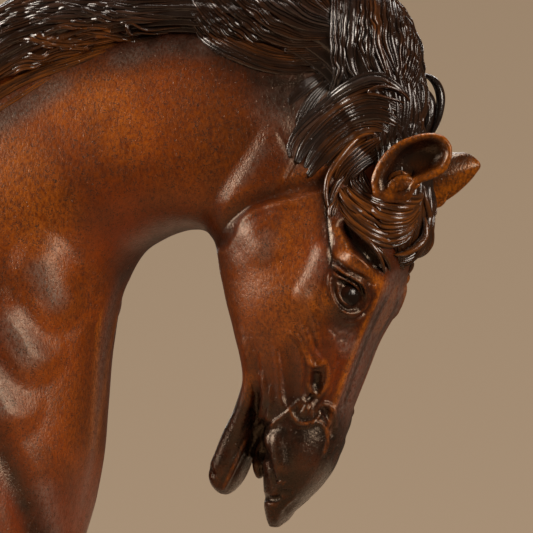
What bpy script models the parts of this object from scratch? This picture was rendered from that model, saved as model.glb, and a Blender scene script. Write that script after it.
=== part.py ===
"""The head and neck of a rearing horse, cast in one piece as a bust and cut flat below.

Metres, +Z up. The horse faces +X with its head tucked down. Its two sides are alike across the XZ
plane, but for the far ear, which hangs lower, and the looped lock of hair beside it. The origin is on
the flat underside, at the middle of the neck's foot.

The form is laid out on a drawing of the horse, in units of which the head is HEAD_UNITS long, with x
to the right and y down. The drawing is seen from the near side, -Y, turned a little towards the
horse's front by DRAWING_TURN, and from a little below by DRAWING_TILT.
"""

import math

import bmesh
import bpy
import numpy as np
from mathutils import Vector
from mathutils.bvhtree import BVHTree

# Driving sizes, in metres
HEAD_LENGTH = 0.140
CAST_GRAIN = 0.0010
EAR_WALL = 0.0019
CUT_SNAP = 0.0012
WELD = 0.00003
CUT_TOLERANCE = 0.000003

# How the drawing is laid out
HEAD_UNITS = 440.0
UNIT = HEAD_LENGTH / HEAD_UNITS
DRAWING_TURN = math.radians(18.0)
DRAWING_TILT = math.radians(3.0)
# How much higher the drawing shows a point for each unit that it stands off the middle plane
TILT_LIFT = math.tan(DRAWING_TILT) / math.cos(DRAWING_TURN)
FOOT_X = -107.0
GROUND_Y = 548.0

# How finely the solid is made
TRIANGLES = 9400
RINGS_PER_STATION = 6
BODY_SEGMENTS = 56
LOCK_SIDES = 3
STEPS_ALONG_LOCK = 3
EAR_STEPS = 4
EAR_LAYERS = 7
BALL_SEGMENTS = 24
BALL_RINGS = 16
SOFTEN_SHARE = 0.5
SOFTEN_TIMES = 2

# The flutes between the strands of the mane: how many go round it, how deep, and how they twist
FLUTES = 15
FLUTE_DEPTH = 0.055
FLUTE_TWIST = 0.55
HAIR_SEGMENTS = 120

# The most that a turned section's width may add to the depth that the drawing shows
WIDTH_SHOWN = 0.35

# A lock's thickness along its length: its share at the tip, where its swell starts and how long
# that is as shares of the length, and how full the swell is
LOCK_TIP = 0.35
LOCK_SWELL_START = 0.12
LOCK_SWELL_LENGTH = 0.8
LOCK_FULLNESS = 0.6

# How soon the carving fades out where the surface turns away from the side
CARVING_REACH = 2.0

BRONZE_COLOUR = (0.150, 0.042, 0.011, 1.0)
BRONZE_ROUGHNESS = 0.34
BRONZE_METALLIC = 0.25

# Sections across the neck and head, from the foot to the upper lip: the crest or nose side (x, y),
# the throat or jaw side (x, y), the half width, how far the width leans to the crest side, and how
# square the section is (2 is an ellipse).
BODY_SECTIONS = (
    (-300, 640, 54, 640, 150, 0.00, 2.6),
    (-296, 548, 75, 548, 150, 0.00, 2.6),
    (-290, 470, 94, 462, 146, 0.00, 2.5),
    (-278, 385, 101, 405, 138, 0.00, 2.4),
    (-254, 300, 107, 345, 126, -0.05, 2.3),
    (-212, 215, 118, 290, 112, -0.10, 2.3),
    (-150, 132, 137, 253, 100, -0.15, 2.2),
    (-65, 74, 159, 237, 92, -0.20, 2.2),
    (30, 40, 181, 229, 84, -0.22, 2.2),
    (125, 18, 197, 228, 77, -0.22, 2.2),
    (215, 12, 206, 230, 71, -0.20, 2.2),
    (295, 25, 211, 233, 66, -0.12, 2.2),
    (350, 58, 215, 239, 60, -0.20, 2.2),
    (384, 105, 218, 247, 60, -0.28, 2.2),
    (400, 160, 219, 257, 63, -0.28, 2.2),
    (407, 212, 219, 269, 67, -0.08, 2.3),
    (401, 260, 220, 284, 71, 0.16, 2.7),
    (390, 303, 223, 302, 71, 0.22, 2.9),
    (375, 341, 229, 322, 65, 0.08, 2.7),
    (364, 373, 237, 346, 58, -0.03, 2.5),
    (354, 402, 247, 368, 51, -0.08, 2.4),
    (347, 428, 257, 395, 47, -0.08, 2.4),
    (341, 448, 264, 428, 46, -0.03, 2.4),
    (333, 468, 264, 455, 44, 0.00, 2.3),
    (319, 487, 264, 480, 38, 0.00, 2.2),
    (303, 503, 265, 500, 30, 0.00, 2.2),
    (289, 517, 266, 515, 21, 0.00, 2.1),
    (279, 527, 269, 526, 8, 0.00, 2.0),
)

# The lower jaw, dropped open: the inner side, the outer side, then as above.
JAW_SECTIONS = (
    (296, 322, 234, 312, 48, 0.00, 2.3),
    (288, 362, 240, 348, 44, 0.00, 2.3),
    (276, 394, 246, 376, 38, 0.00, 2.3),
    (265, 418, 243, 392, 33, 0.00, 2.3),
    (257, 436, 236, 411, 29, 0.00, 2.4),
    (251, 452, 226, 430, 27, 0.00, 2.5),
    (247, 467, 217, 451, 28, 0.00, 2.5),
    (242, 480, 210, 468, 27, 0.00, 2.4),
    (235, 490, 211, 482, 22, 0.00, 2.2),
    (227, 495, 217, 491, 9, 0.00, 2.0),
)

TONGUE_SECTIONS = (
    (290, 395, 268, 380, 18, 0.00, 2.0),
    (275, 430, 258, 418, 17, 0.00, 2.0),
    (270, 456, 252, 446, 15, 0.00, 2.0),
    (265, 474, 253, 466, 11, 0.00, 2.0),
    (260, 479, 256, 477, 4, 0.00, 2.0),
)

# The mass of the mane over the crest: its upper edge, its lower edge inside the neck, then as above.
MANE_SECTIONS = (
    (-266, 296, -250, 306, 6, 0.00, 2.0),
    (-246, 236, -205, 262, 22, 0.00, 2.0),
    (-204, 160, -150, 208, 42, 0.00, 2.1),
    (-128, 82, -78, 152, 58, -0.20, 2.2),
    (-56, 22, -22, 118, 64, -0.25, 2.2),
    (0, -10, 30, 92, 65, -0.25, 2.2),
    (62, -32, 80, 68, 63, -0.25, 2.2),
    (130, -40, 135, 52, 60, -0.25, 2.2),
    (200, -46, 195, 48, 58, -0.20, 2.2),
    (268, -46, 245, 62, 57, -0.15, 2.2),
    (326, -36, 285, 80, 56, -0.05, 2.2),
    (370, -12, 310, 100, 53, 0.00, 2.2),
    (396, 24, 325, 118, 50, 0.00, 2.2),
    (411, 64, 335, 135, 48, 0.00, 2.2),
    (424, 104, 345, 152, 46, 0.10, 2.2),
    (420, 140, 355, 165, 42, 0.10, 2.2),
    (405, 168, 375, 180, 22, 0.00, 2.0),
)

# The forelock's mass over the forehead, from the poll down between the eyes, laid out in the same way.
FORELOCK_SECTIONS = (
    (402, 100, 350, 112, 20, 0.00, 2.0),
    (423, 124, 362, 136, 34, 0.00, 2.1),
    (432, 152, 368, 160, 42, 0.00, 2.2),
    (435, 184, 370, 184, 48, -0.10, 2.2),
    (434, 214, 368, 208, 52, -0.15, 2.2),
    (429, 240, 366, 230, 50, -0.20, 2.2),
    (418, 259, 370, 250, 40, -0.20, 2.1),
    (402, 274, 382, 268, 18, -0.10, 2.0),
)

# Locks of hair laid on the surface: a thickness, then the points (x, y) that a lock follows.
LOCKS = (
    # The mane blown back from its parting over the neck
    (15, ((188, -18), (130, -24), (70, -8), (10, 12), (-60, 42), (-130, 92), (-190, 150))),
    (14, ((190, 2), (140, -4), (90, 2), (35, 12), (-30, 38), (-100, 84), (-165, 148))),
    (13, ((191, 18), (140, 12), (90, 14), (35, 26), (-30, 56), (-95, 104), (-150, 172))),
    (11, ((160, 29), (115, 29), (65, 36), (15, 50), (-45, 84), (-100, 132), (-140, 186))),
    (11, ((128, 40), (85, 50), (40, 62), (-10, 84), (-60, 120), (-105, 166))),
    (9, ((112, 52), (70, 66), (35, 82), (-5, 106), (-48, 138), (-80, 172))),
    # The mane that falls forward from the parting to the poll
    (9, ((192, 8), (204, 28), (232, 52), (268, 70), (300, 76), (328, 72))),
    (12, ((201, -4), (224, 22), (258, 46), (295, 60), (331, 61))),
    (13, ((214, -20), (248, 6), (283, 30), (310, 42), (334, 46))),
    (14, ((236, -34), (272, -12), (303, 12), (334, 30))),
    (13, ((268, -42), (300, -26), (322, -8), (338, 12))),
    # The full mane that stands up at the poll
    (12, ((318, 142), (326, 115), (333, 88), (336, 52), (338, 12), (334, -28))),
    (14, ((348, 98), (350, 62), (353, 24), (354, -18), (346, -42))),
    (15, ((372, 96), (374, 60), (374, 22), (368, -16), (356, -34))),
    (13, ((392, 100), (395, 68), (391, 32), (379, -2), (364, -26))),
    (11, ((410, 118), (412, 84), (406, 50), (393, 16), (378, -10))),
    # The hair that sweeps from the cheek to the ear
    (11, ((298, 162), (306, 138), (322, 112), (346, 93), (372, 86), (398, 96))),
    (9, ((312, 162), (328, 138), (350, 117), (376, 109), (402, 118))),
    (9, ((328, 160), (344, 142), (368, 128), (396, 130))),
    (9, ((326, 205), (328, 184), (340, 166), (360, 150), (384, 142))),
    # The forelock, round under the ear and over the brow
    (9, ((338, 190), (352, 208), (372, 224), (396, 232), (416, 222), (424, 204))),
    (8, ((334, 202), (350, 220), (370, 236), (394, 242), (418, 230))),
    (7, ((332, 216), (348, 232), (366, 246), (388, 252), (408, 248))),
    (10, ((428, 168), (428, 196), (428, 222), (420, 244), (404, 262))),
)

# A looped lock that stands off beside the far ear: a thickness, how far out it is, and its points
FAR_LOOP = (9, 44, ((396, 60), (404, 82), (407, 104), (405, 128), (398, 152)))

# The ear's rim, seen from the horse's side: it starts and ends at the root.
EAR_RIM = (
    (371, 199), (369, 183), (377, 164), (392, 149), (411, 141), (428, 139), (440, 143),
    (448, 154), (449, 168), (443, 179), (428, 187), (412, 196), (400, 204), (384, 206),
)
EAR_ROOT_OUT = 58.0
EAR_TIP_OUT = 50.0
EAR_DEPTH = 18.0
EAR_HOLLOW = 0.82
# The innermost ring's share of the rim's size, and the wall's share at the rim
EAR_MIDDLE = 0.04
EAR_THIN_RIM = 0.4
# The ball that joins the ear to the head: its place (x, y), how far out it is, and its half sizes
EAR_ROOT_PLACE = (392, 187)
EAR_ROOT_BALL_OUT = 40
EAR_ROOT_SIZE = (18, 16, 18)
# The far ear is turned down a little more than the near one
FAR_EAR_DROP = 6.0
FAR_EAR_TIP_DROP = 8.0

# Carving strokes: how high (below nought, how deep), how wide, how sharp, then the points (x, y).
STROKES = (
    # Brow, eye and the hollow above it
    (9, 26, 1, ((348, 262), (374, 284), (374, 300))),
    (6, 9, 1, ((336, 236), (346, 254), (362, 268), (382, 286))),
    (-6, 12, 1, ((350, 240), (362, 254), (374, 266))),
    (-12, 16, 2, ((344, 292), (352, 300))),
    (9, 11, 1, ((346, 294), (350, 299))),
    (5, 6, 1, ((330, 284), (333, 302), (341, 311), (352, 312), (361, 305))),
    (-4, 7, 1, ((346, 322), (360, 318), (372, 308))),
    # Cheek, and the crease behind it
    (6, 52, 1, ((262, 262), (270, 290))),
    (-6, 11, 1, ((226, 240), (240, 214), (262, 199), (300, 190), (324, 184))),
    (-4, 8, 1, ((326, 205), (328, 240), (331, 272))),
    # The flat of the face below the eye
    (-6, 15, 1, ((317, 356), (314, 392))),
    (3, 14, 1, ((287, 352), (290, 392))),
    (4, 7, 1, ((294, 336), (303, 352), (306, 378))),
    (4, 7, 1, ((336, 362), (330, 378), (324, 394))),
    # Nostril and lip
    (-5, 26, 1, ((300, 446), (300, 462))),
    (-11, 11, 2, ((309, 434), (318, 432), (319, 442))),
    (6, 8, 1, ((268, 434), (276, 422), (290, 410), (303, 414), (318, 410), (327, 424), (329, 442))),
    (5, 9, 1, ((269, 434), (273, 458), (282, 482))),
    # Folds from the jaw to the corner of the mouth
    (4, 7, 1, ((262, 372), (264, 396), (260, 415))),
    (-4, 6, 1, ((252, 366), (257, 392), (252, 412))),
    (-9, 9, 1, ((262, 424), (258, 432))),
    # The muscles of the neck and the shoulder
    (5, 11, 1, ((280, 134), (256, 166), (232, 200))),
    (-4, 13, 1, ((302, 152), (284, 182), (262, 200))),
    (6, 24, 1, ((36, 268), (60, 298))),
    (7, 26, 1, ((8, 312), (34, 352))),
    (6, 26, 1, ((-18, 362), (8, 402))),
    (-5, 14, 1, ((-10, 296), (30, 312), (64, 336))),
    (-10, 22, 1, ((-14, 412), (12, 452), (34, 500), (50, 560))),
    (-6, 20, 1, ((58, 500), (60, 560))),
    (-6, 40, 1, ((150, 262), (120, 310), (70, 330))),
    (-8, 46, 1, ((-150, 250), (-110, 330), (-90, 420), (-110, 520))),
)


def across(x, off=0.0):
    """The drawing's x as metres along X, for a point on the middle plane or off it."""
    return (x - FOOT_X + off * math.sin(DRAWING_TURN)) / math.cos(DRAWING_TURN) * UNIT


def height(y):
    """The drawing's y as metres above the underside, for a point on the middle plane."""
    return (GROUND_Y - y) * UNIT


def placed(x, y, off, side=1):
    """The point that the drawing shows at x, y, off the middle plane on the near or the far side."""
    return Vector((across(x, off), -off * UNIT * side, height(y + off * TILT_LIFT)))


def clear_scene():
    for thing in list(bpy.data.objects):
        bpy.data.objects.remove(thing)


def collection(name):
    made = bpy.data.collections.new(name)
    bpy.context.scene.collection.children.link(made)
    return made


def smooth_rows(rows, steps):
    """Rows of numbers read along a Catmull-Rom curve through the given rows, with steps per span."""
    rows = np.asarray(rows, float)
    ends = np.vstack([2 * rows[0] - rows[1], rows, 2 * rows[-1] - rows[-2]])
    made = []
    for i in range(len(rows) - 1):
        a, b, c, d = ends[i : i + 4]
        for t in np.arange(steps) / steps:
            made.append(
                0.5 * (2 * b + (c - a) * t + (2 * a - 5 * b + 4 * c - d) * t**2 + (3 * b - a - 3 * c + d) * t**3)
            )
    made.append(rows[-1])
    return np.array(made)


def ring(row, segments, fluted=0.0, turn=0.0):
    """One section as points in metres: a rounded, slightly square egg between its two sides."""
    crest_x, crest_y, throat_x, throat_y, half_width, lean, square = row
    middle = Vector(((crest_x + throat_x) / 2, (crest_y + throat_y) / 2))
    half = Vector(((crest_x - throat_x) / 2, (crest_y - throat_y) / 2))
    # A turned section looks deeper than it is, because its width shows too
    shown = min(WIDTH_SHOWN, (half_width * math.sin(DRAWING_TURN) / half.length) ** 2)
    depth_x = half.x * math.sqrt(1 - shown * (half.x / half.length) ** 2)
    points = []
    for i in range(segments):
        angle = 2 * math.pi * i / segments
        cos, sin = math.cos(angle), math.sin(angle)
        # Both sides are fluted alike
        ripple = 1 + fluted * math.cos(FLUTES * abs((angle + math.pi) % (2 * math.pi) - math.pi) + turn)
        along = math.copysign(abs(cos) ** (2 / square), cos) * ripple
        out = math.copysign(abs(sin) ** (2 / square), sin) * (1 + lean * along) * ripple
        x = across(middle.x) + depth_x * along / math.cos(DRAWING_TURN) * UNIT
        points.append((x, half_width * out * UNIT, height(middle.y + half.y * along)))
    return points


def loft(name, rows, segments=BODY_SEGMENTS, fluted=0.0):
    """A closed mesh through the sections, plain or fluted along its length."""
    shape = bmesh.new()
    rings = []
    for i, row in enumerate(smooth_rows(rows, RINGS_PER_STATION)):
        turn = FLUTE_TWIST * i / RINGS_PER_STATION
        rings.append([shape.verts.new(p) for p in ring(row, segments, fluted, turn)])
    for first, second in zip(rings, rings[1:]):
        for i in range(segments):
            j = (i + 1) % segments
            shape.faces.new((first[i], first[j], second[j], second[i]))
    shape.faces.new(rings[0])
    shape.faces.new(rings[-1])
    bmesh.ops.recalc_face_normals(shape, faces=shape.faces)
    return as_mesh(name, shape)


def as_mesh(name, shape):
    mesh = bpy.data.meshes.new(name)
    shape.to_mesh(mesh)
    shape.free()
    return mesh


def surface_of(meshes):
    """A search tree over several meshes."""
    points, faces = [], []
    for mesh in meshes:
        start = len(points)
        points += [v.co.copy() for v in mesh.vertices]
        faces += [[start + i for i in p.vertices] for p in mesh.polygons]
    return BVHTree.FromPolygons(points, faces)


def on_surface(tree, x, y):
    """The point of the near side that the drawing shows at x, y, or one on the middle plane."""
    sight = Vector((-math.tan(DRAWING_TURN), 1.0, TILT_LIFT)).normalized()
    middle = placed(x, y, 0.0)
    hit = tree.ray_cast(middle - sight * HEAD_LENGTH * 2, sight)[0]
    return hit if hit and hit.y < 0 else middle


def laid(tree, path):
    """A path through the drawing's points, laid on the near side's surface."""
    return [on_surface(tree, x, y) for x, y in smooth_rows(path, STEPS_ALONG_LOCK)]


def stood_off(out, path):
    """A path through the drawing's points at a given width off the middle plane."""
    return [placed(x, y, out) for x, y in smooth_rows(path, STEPS_ALONG_LOCK)]


def lock(name, thickness, points, side):
    """One lock of hair, as a mesh: a tube that tapers at both ends, on the near or the far side."""
    curve = bpy.data.curves.new(name, "CURVE")
    curve.dimensions = "3D"
    curve.bevel_depth = thickness * UNIT
    curve.bevel_resolution = LOCK_SIDES
    curve.use_fill_caps = True
    spline = curve.splines.new("POLY")
    spline.points.add(len(points) - 1)
    for i, at in enumerate(points):
        along_swell = LOCK_SWELL_START + LOCK_SWELL_LENGTH * i / (len(points) - 1)
        # Past its swell a lock keeps its tip's thickness
        swell = max(0.0, math.sin(math.pi * along_swell))
        spline.points[i].co = (at.x, at.y * side, at.z, 1.0)
        spline.points[i].radius = LOCK_TIP + (1 - LOCK_TIP) * swell**LOCK_FULLNESS
    guide = bpy.data.objects.new(name, curve)
    bpy.context.scene.collection.objects.link(guide)
    mesh = bpy.data.meshes.new_from_object(guide.evaluated_get(bpy.context.evaluated_depsgraph_get()))
    bpy.data.objects.remove(guide)
    shape = bmesh.new()
    shape.from_mesh(mesh)
    bmesh.ops.remove_doubles(shape, verts=shape.verts, dist=WELD)
    bmesh.ops.recalc_face_normals(shape, faces=shape.faces)
    return as_mesh(name, shape)


def ear(name, side):
    """One ear: a bowl whose rim follows EAR_RIM, hollow towards the horse's side, with a true wall."""
    rim = smooth_rows(EAR_RIM + EAR_RIM[:1], EAR_STEPS)[:-1]
    centre = rim.mean(axis=0)
    left = rim[:, 0].min()
    reach = rim[:, 0].max() - left
    wall = EAR_WALL / UNIT
    shape = bmesh.new()
    rings = []
    for layer in range(-EAR_LAYERS, EAR_LAYERS + 1):
        # The hollow runs from its middle to the rim, and the back from the rim to the root
        inside = layer < 0
        share = abs(layer) / EAR_LAYERS
        spread = max(math.cos(share * math.pi / 2), EAR_MIDDLE) * (EAR_HOLLOW if inside else 1.0)
        sunk = EAR_DEPTH * math.sin(share * math.pi / 2)
        thick = 0.0 if inside else wall * (EAR_THIN_RIM + (1 - EAR_THIN_RIM) * share)
        made = []
        for x, y in rim:
            to_tip = (x - left) / reach
            out = EAR_ROOT_OUT + (EAR_TIP_OUT - EAR_ROOT_OUT) * to_tip
            drop = FAR_EAR_DROP + FAR_EAR_TIP_DROP * to_tip if side < 0 else 0.0
            px = centre[0] + (x - centre[0]) * spread
            py = centre[1] + (y - centre[1]) * spread + drop
            made.append(shape.verts.new(placed(px, py, out - sunk - thick, side)))
        rings.append(made)
    for first, second in zip(rings, rings[1:]):
        for i in range(len(rim)):
            j = (i + 1) % len(rim)
            shape.faces.new((first[i], first[j], second[j], second[i]))
    shape.faces.new(rings[0])
    shape.faces.new(rings[-1])
    bmesh.ops.recalc_face_normals(shape, faces=shape.faces)
    return as_mesh(name, shape)


def ear_root(name, side):
    """The root that joins an ear to the head, as an egg-shaped ball."""
    shape = bmesh.new()
    bmesh.ops.create_uvsphere(shape, u_segments=BALL_SEGMENTS, v_segments=BALL_RINGS, radius=1.0)
    bmesh.ops.scale(shape, vec=Vector(EAR_ROOT_SIZE) * UNIT, verts=shape.verts)
    bmesh.ops.translate(shape, vec=placed(*EAR_ROOT_PLACE, EAR_ROOT_BALL_OUT, side), verts=shape.verts)
    return as_mesh(name, shape)


def joined(name, meshes):
    """All the shapes as one object."""
    shape = bmesh.new()
    for mesh in meshes:
        shape.from_mesh(mesh)
    return bpy.data.objects.new(name, as_mesh(name, shape))


def evaluated(thing):
    """The object's mesh with its modifiers applied, as a new mesh."""
    return bpy.data.meshes.new_from_object(thing.evaluated_get(bpy.context.evaluated_depsgraph_get()))


def fused(thing):
    """The shapes run together into one skin, as one casting."""
    remesh = thing.modifiers.new("one_skin", "REMESH")
    remesh.mode = "VOXEL"
    remesh.voxel_size = CAST_GRAIN
    soften = thing.modifiers.new("soften", "SMOOTH")
    soften.factor = SOFTEN_SHARE
    soften.iterations = SOFTEN_TIMES
    mesh = evaluated(thing)
    thing.modifiers.clear()
    return mesh


def drawn(points):
    """Where the drawing shows each point, with the far side's shown as the near side's."""
    turned = points[:, 0] * math.cos(DRAWING_TURN) - np.abs(points[:, 1]) * math.sin(DRAWING_TURN)
    raised = points[:, 2] + np.abs(points[:, 1]) * TILT_LIFT
    return np.stack([FOOT_X + turned / UNIT, GROUND_Y - raised / UNIT], axis=1)


def distance_to_path(at, path):
    """How far each drawn point is from a path."""
    nearest = np.full(len(at), np.inf)
    for a, b in zip(path, path[1:]):
        a, span = np.array(a, float), np.subtract(b, a).astype(float)
        share = np.clip(((at - a) @ span) / (span @ span), 0, 1)
        nearest = np.minimum(nearest, np.hypot(*(at - a - share[:, None] * span).T))
    return nearest


def carve(mesh):
    """Presses and raises the skin along the carving strokes, on both sides alike."""
    count = len(mesh.vertices)
    points = np.empty(count * 3, np.float32)
    normals = np.empty(count * 3, np.float32)
    mesh.vertices.foreach_get("co", points)
    mesh.vertices.foreach_get("normal", normals)
    points, normals = points.reshape(-1, 3).astype(float), normals.reshape(-1, 3).astype(float)
    at = drawn(points)
    side_on = np.clip(np.abs(normals[:, 1]) * CARVING_REACH, 0, 1)
    rise = np.zeros(count)
    for high, wide, sharp, path in STROKES:
        share = np.clip(distance_to_path(at, path) / wide, 0, 1)
        rise += high * (1 - share ** (2 * sharp)) ** 2
    points += normals * (rise * side_on * UNIT)[:, None]
    mesh.vertices.foreach_set("co", points.astype(np.float32).ravel())
    mesh.update()


def thinned(mesh):
    """The skin with as few triangles as its form needs."""
    thing = bpy.data.objects.new("skin", mesh)
    bpy.context.scene.collection.objects.link(thing)
    mesh.calc_loop_triangles()
    fewer = thing.modifiers.new("fewer", "DECIMATE")
    fewer.ratio = TRIANGLES / len(mesh.loop_triangles)
    fewer.use_collapse_triangulate = True
    made = evaluated(thing)
    bpy.data.objects.remove(thing)
    return made


def cut_flat(mesh):
    """The skin cut level at the underside, and closed there."""
    shape = bmesh.new()
    shape.from_mesh(mesh)
    for vert in shape.verts:
        if abs(vert.co.z) < CUT_SNAP:
            vert.co.z = 0.0
    everything = shape.verts[:] + shape.edges[:] + shape.faces[:]
    cut = bmesh.ops.bisect_plane(
        shape, geom=everything, dist=CUT_TOLERANCE, plane_co=(0, 0, 0), plane_no=(0, 0, 1), clear_inner=True
    )
    edge = [e for e in cut["geom_cut"] if isinstance(e, bmesh.types.BMEdge)]
    bmesh.ops.contextual_create(shape, geom=edge)
    bmesh.ops.triangulate(shape, faces=shape.faces)
    bmesh.ops.recalc_face_normals(shape, faces=shape.faces)
    for face in shape.faces:
        face.smooth = True
    for rim in edge:
        rim.smooth = False
    return as_mesh("horse_bust", shape)


def bronze():
    material = bpy.data.materials.new("brown_bronze")
    material.use_nodes = True
    shader = material.node_tree.nodes["Principled BSDF"]
    shader.inputs["Base Color"].default_value = BRONZE_COLOUR
    shader.inputs["Roughness"].default_value = BRONZE_ROUGHNESS
    shader.inputs["Metallic"].default_value = BRONZE_METALLIC
    return material


def main():
    clear_scene()
    bust = collection("rearing_horse_bust")
    body = loft("body", BODY_SECTIONS)
    mane = loft("mane", MANE_SECTIONS, HAIR_SEGMENTS, FLUTE_DEPTH)
    forelock = loft("forelock", FORELOCK_SECTIONS, HAIR_SEGMENTS, FLUTE_DEPTH)
    shapes = [body, mane, forelock, loft("jaw", JAW_SECTIONS), loft("tongue", TONGUE_SECTIONS)]
    tree = surface_of([body, mane, forelock])
    for side in (1, -1):
        shapes += [ear("ear", side), ear_root("ear_root", side)]
        shapes += [lock("lock", thickness, laid(tree, path), side) for thickness, path in LOCKS]
    thickness, out, path = FAR_LOOP
    shapes.append(lock("far_loop", thickness, stood_off(out, path), -1))
    clay = joined("clay", shapes)
    bust.objects.link(clay)
    skin = fused(clay)
    bpy.data.objects.remove(clay)
    carve(skin)
    solid = bpy.data.objects.new("horse_bust", cut_flat(thinned(skin)))
    bust.objects.link(solid)
    solid.data.materials.clear()
    solid.data.materials.append(bronze())


main()
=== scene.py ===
"""The head and neck of a rearing horse in brown patinated bronze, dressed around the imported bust.

Metres, +Z up. The horse faces +X with its head tucked down. The forms are laid out on a side drawing,
in units of which the head is 440 long, with x to the right and y down. The drawing is seen from the
near side, -Y, turned a little towards the horse's front.
"""

from __future__ import annotations

import logging
import math
from dataclasses import dataclass, field
from enum import Enum
from typing import Iterable, Sequence

import bmesh
import bpy
import numpy as np
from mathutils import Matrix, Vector
from mathutils.bvhtree import BVHTree

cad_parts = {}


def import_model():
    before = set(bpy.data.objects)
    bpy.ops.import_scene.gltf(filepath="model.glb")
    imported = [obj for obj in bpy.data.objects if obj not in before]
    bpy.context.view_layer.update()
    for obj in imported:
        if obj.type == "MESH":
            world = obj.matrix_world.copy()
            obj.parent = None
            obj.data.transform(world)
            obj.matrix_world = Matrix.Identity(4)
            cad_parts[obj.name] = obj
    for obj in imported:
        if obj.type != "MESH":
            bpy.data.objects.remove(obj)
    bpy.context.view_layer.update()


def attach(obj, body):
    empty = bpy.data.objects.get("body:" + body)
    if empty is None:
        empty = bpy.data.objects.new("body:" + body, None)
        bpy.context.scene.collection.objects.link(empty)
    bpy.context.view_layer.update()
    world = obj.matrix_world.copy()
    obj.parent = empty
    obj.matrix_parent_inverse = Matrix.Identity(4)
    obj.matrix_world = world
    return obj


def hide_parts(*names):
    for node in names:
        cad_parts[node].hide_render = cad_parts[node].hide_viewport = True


LOG = logging.getLogger("horse_bust")

NODE = "horse_bust"
BODY = "root"
# What the hair's points carry: how high up its strand each lies, and how the hair runs there
CROWN = "crown"
FLOW = "flow"
# The solid's box in metres, which the dressed pieces stay inside
BOX = ((-0.06121, -0.04771, 0.0), (0.19015, 0.04771, 0.19004))

# How many steps a drawn stroke takes from one of its points to the next
STROKE_STEPS = 5
# Points closer together than this are one point, in metres
WELD = 1e-7

Points = Sequence[tuple[float, float]]
Triple = tuple[float, float, float]
Socket = bpy.types.NodeSocket

# Sections across the neck and head, from the foot to the upper lip: the crest or nose side (x, y),
# the throat or jaw side (x, y), the half width, how far the width leans to the crest side, and how
# square the section is (2 is an ellipse).
BODY_SECTIONS = (
    (-300, 640, 54, 640, 150, 0.00, 2.6),
    (-296, 548, 75, 548, 150, 0.00, 2.6),
    (-290, 470, 94, 462, 146, 0.00, 2.5),
    (-278, 385, 101, 405, 138, 0.00, 2.4),
    (-254, 300, 107, 345, 126, -0.05, 2.3),
    (-212, 215, 118, 290, 112, -0.10, 2.3),
    (-150, 132, 137, 253, 100, -0.15, 2.2),
    (-65, 74, 159, 237, 92, -0.20, 2.2),
    (30, 40, 181, 229, 84, -0.22, 2.2),
    (125, 18, 197, 228, 77, -0.22, 2.2),
    (215, 12, 206, 230, 71, -0.20, 2.2),
    (295, 25, 211, 233, 66, -0.12, 2.2),
    (350, 58, 215, 239, 60, -0.20, 2.2),
    (384, 105, 218, 247, 60, -0.28, 2.2),
    (400, 160, 221, 257, 63, -0.28, 2.2),
    (407, 212, 222, 269, 67, -0.08, 2.3),
    (405, 261, 225, 284, 71, 0.17, 2.8),
    (393, 303, 229, 302, 71, 0.22, 3.1),
    (375, 341, 234, 322, 65, 0.08, 2.7),
    (364, 373, 240, 346, 58, -0.03, 2.5),
    (354, 402, 247, 368, 51, -0.08, 2.4),
    (347, 428, 257, 395, 47, -0.08, 2.4),
    (341, 448, 264, 428, 46, -0.03, 2.4),
    (333, 468, 264, 455, 44, 0.00, 2.3),
    (319, 487, 264, 480, 38, 0.00, 2.2),
    (303, 503, 265, 500, 30, 0.00, 2.2),
    (289, 517, 266, 515, 21, 0.00, 2.1),
    (279, 527, 269, 526, 8, 0.00, 2.0),
)
JAW_SECTIONS = (
    (296, 322, 234, 312, 48, 0.00, 2.3),
    (288, 362, 240, 348, 44, 0.00, 2.3),
    (276, 394, 246, 376, 38, 0.00, 2.3),
    (265, 418, 243, 392, 33, 0.00, 2.3),
    (257, 436, 236, 411, 29, 0.00, 2.4),
    (251, 452, 226, 430, 27, 0.00, 2.5),
    (247, 467, 217, 451, 28, 0.00, 2.5),
    (242, 480, 210, 468, 27, 0.00, 2.4),
    (235, 490, 211, 482, 22, 0.00, 2.2),
    (227, 495, 217, 491, 9, 0.00, 2.0),
)
TONGUE_SECTIONS = (
    (290, 395, 268, 380, 18, 0.00, 2.0),
    (275, 430, 258, 418, 17, 0.00, 2.0),
    (270, 456, 252, 446, 15, 0.00, 2.0),
    (265, 474, 253, 466, 11, 0.00, 2.0),
    (260, 479, 256, 477, 4, 0.00, 2.0),
)
MANE_SECTIONS = (
    (-266, 296, -250, 306, 6, 0.00, 2.0),
    (-246, 236, -205, 262, 22, 0.00, 2.0),
    (-204, 160, -150, 208, 42, 0.00, 2.1),
    (-128, 82, -78, 152, 58, -0.20, 2.2),
    (-56, 22, -22, 118, 64, -0.25, 2.2),
    (0, -10, 30, 92, 65, -0.25, 2.2),
    (62, -32, 80, 68, 63, -0.25, 2.2),
    (130, -40, 135, 52, 60, -0.25, 2.2),
    (200, -46, 195, 48, 58, -0.20, 2.2),
    (268, -46, 245, 62, 57, -0.15, 2.2),
    (330, -38, 285, 80, 56, -0.05, 2.2),
    (378, -15, 310, 100, 53, 0.00, 2.2),
    (406, 20, 325, 118, 50, 0.00, 2.2),
    (419, 60, 335, 135, 48, 0.00, 2.2),
    (427, 102, 345, 152, 46, 0.10, 2.2),
    (420, 140, 355, 165, 42, 0.10, 2.2),
    (405, 168, 375, 180, 22, 0.00, 2.0),
)
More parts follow.
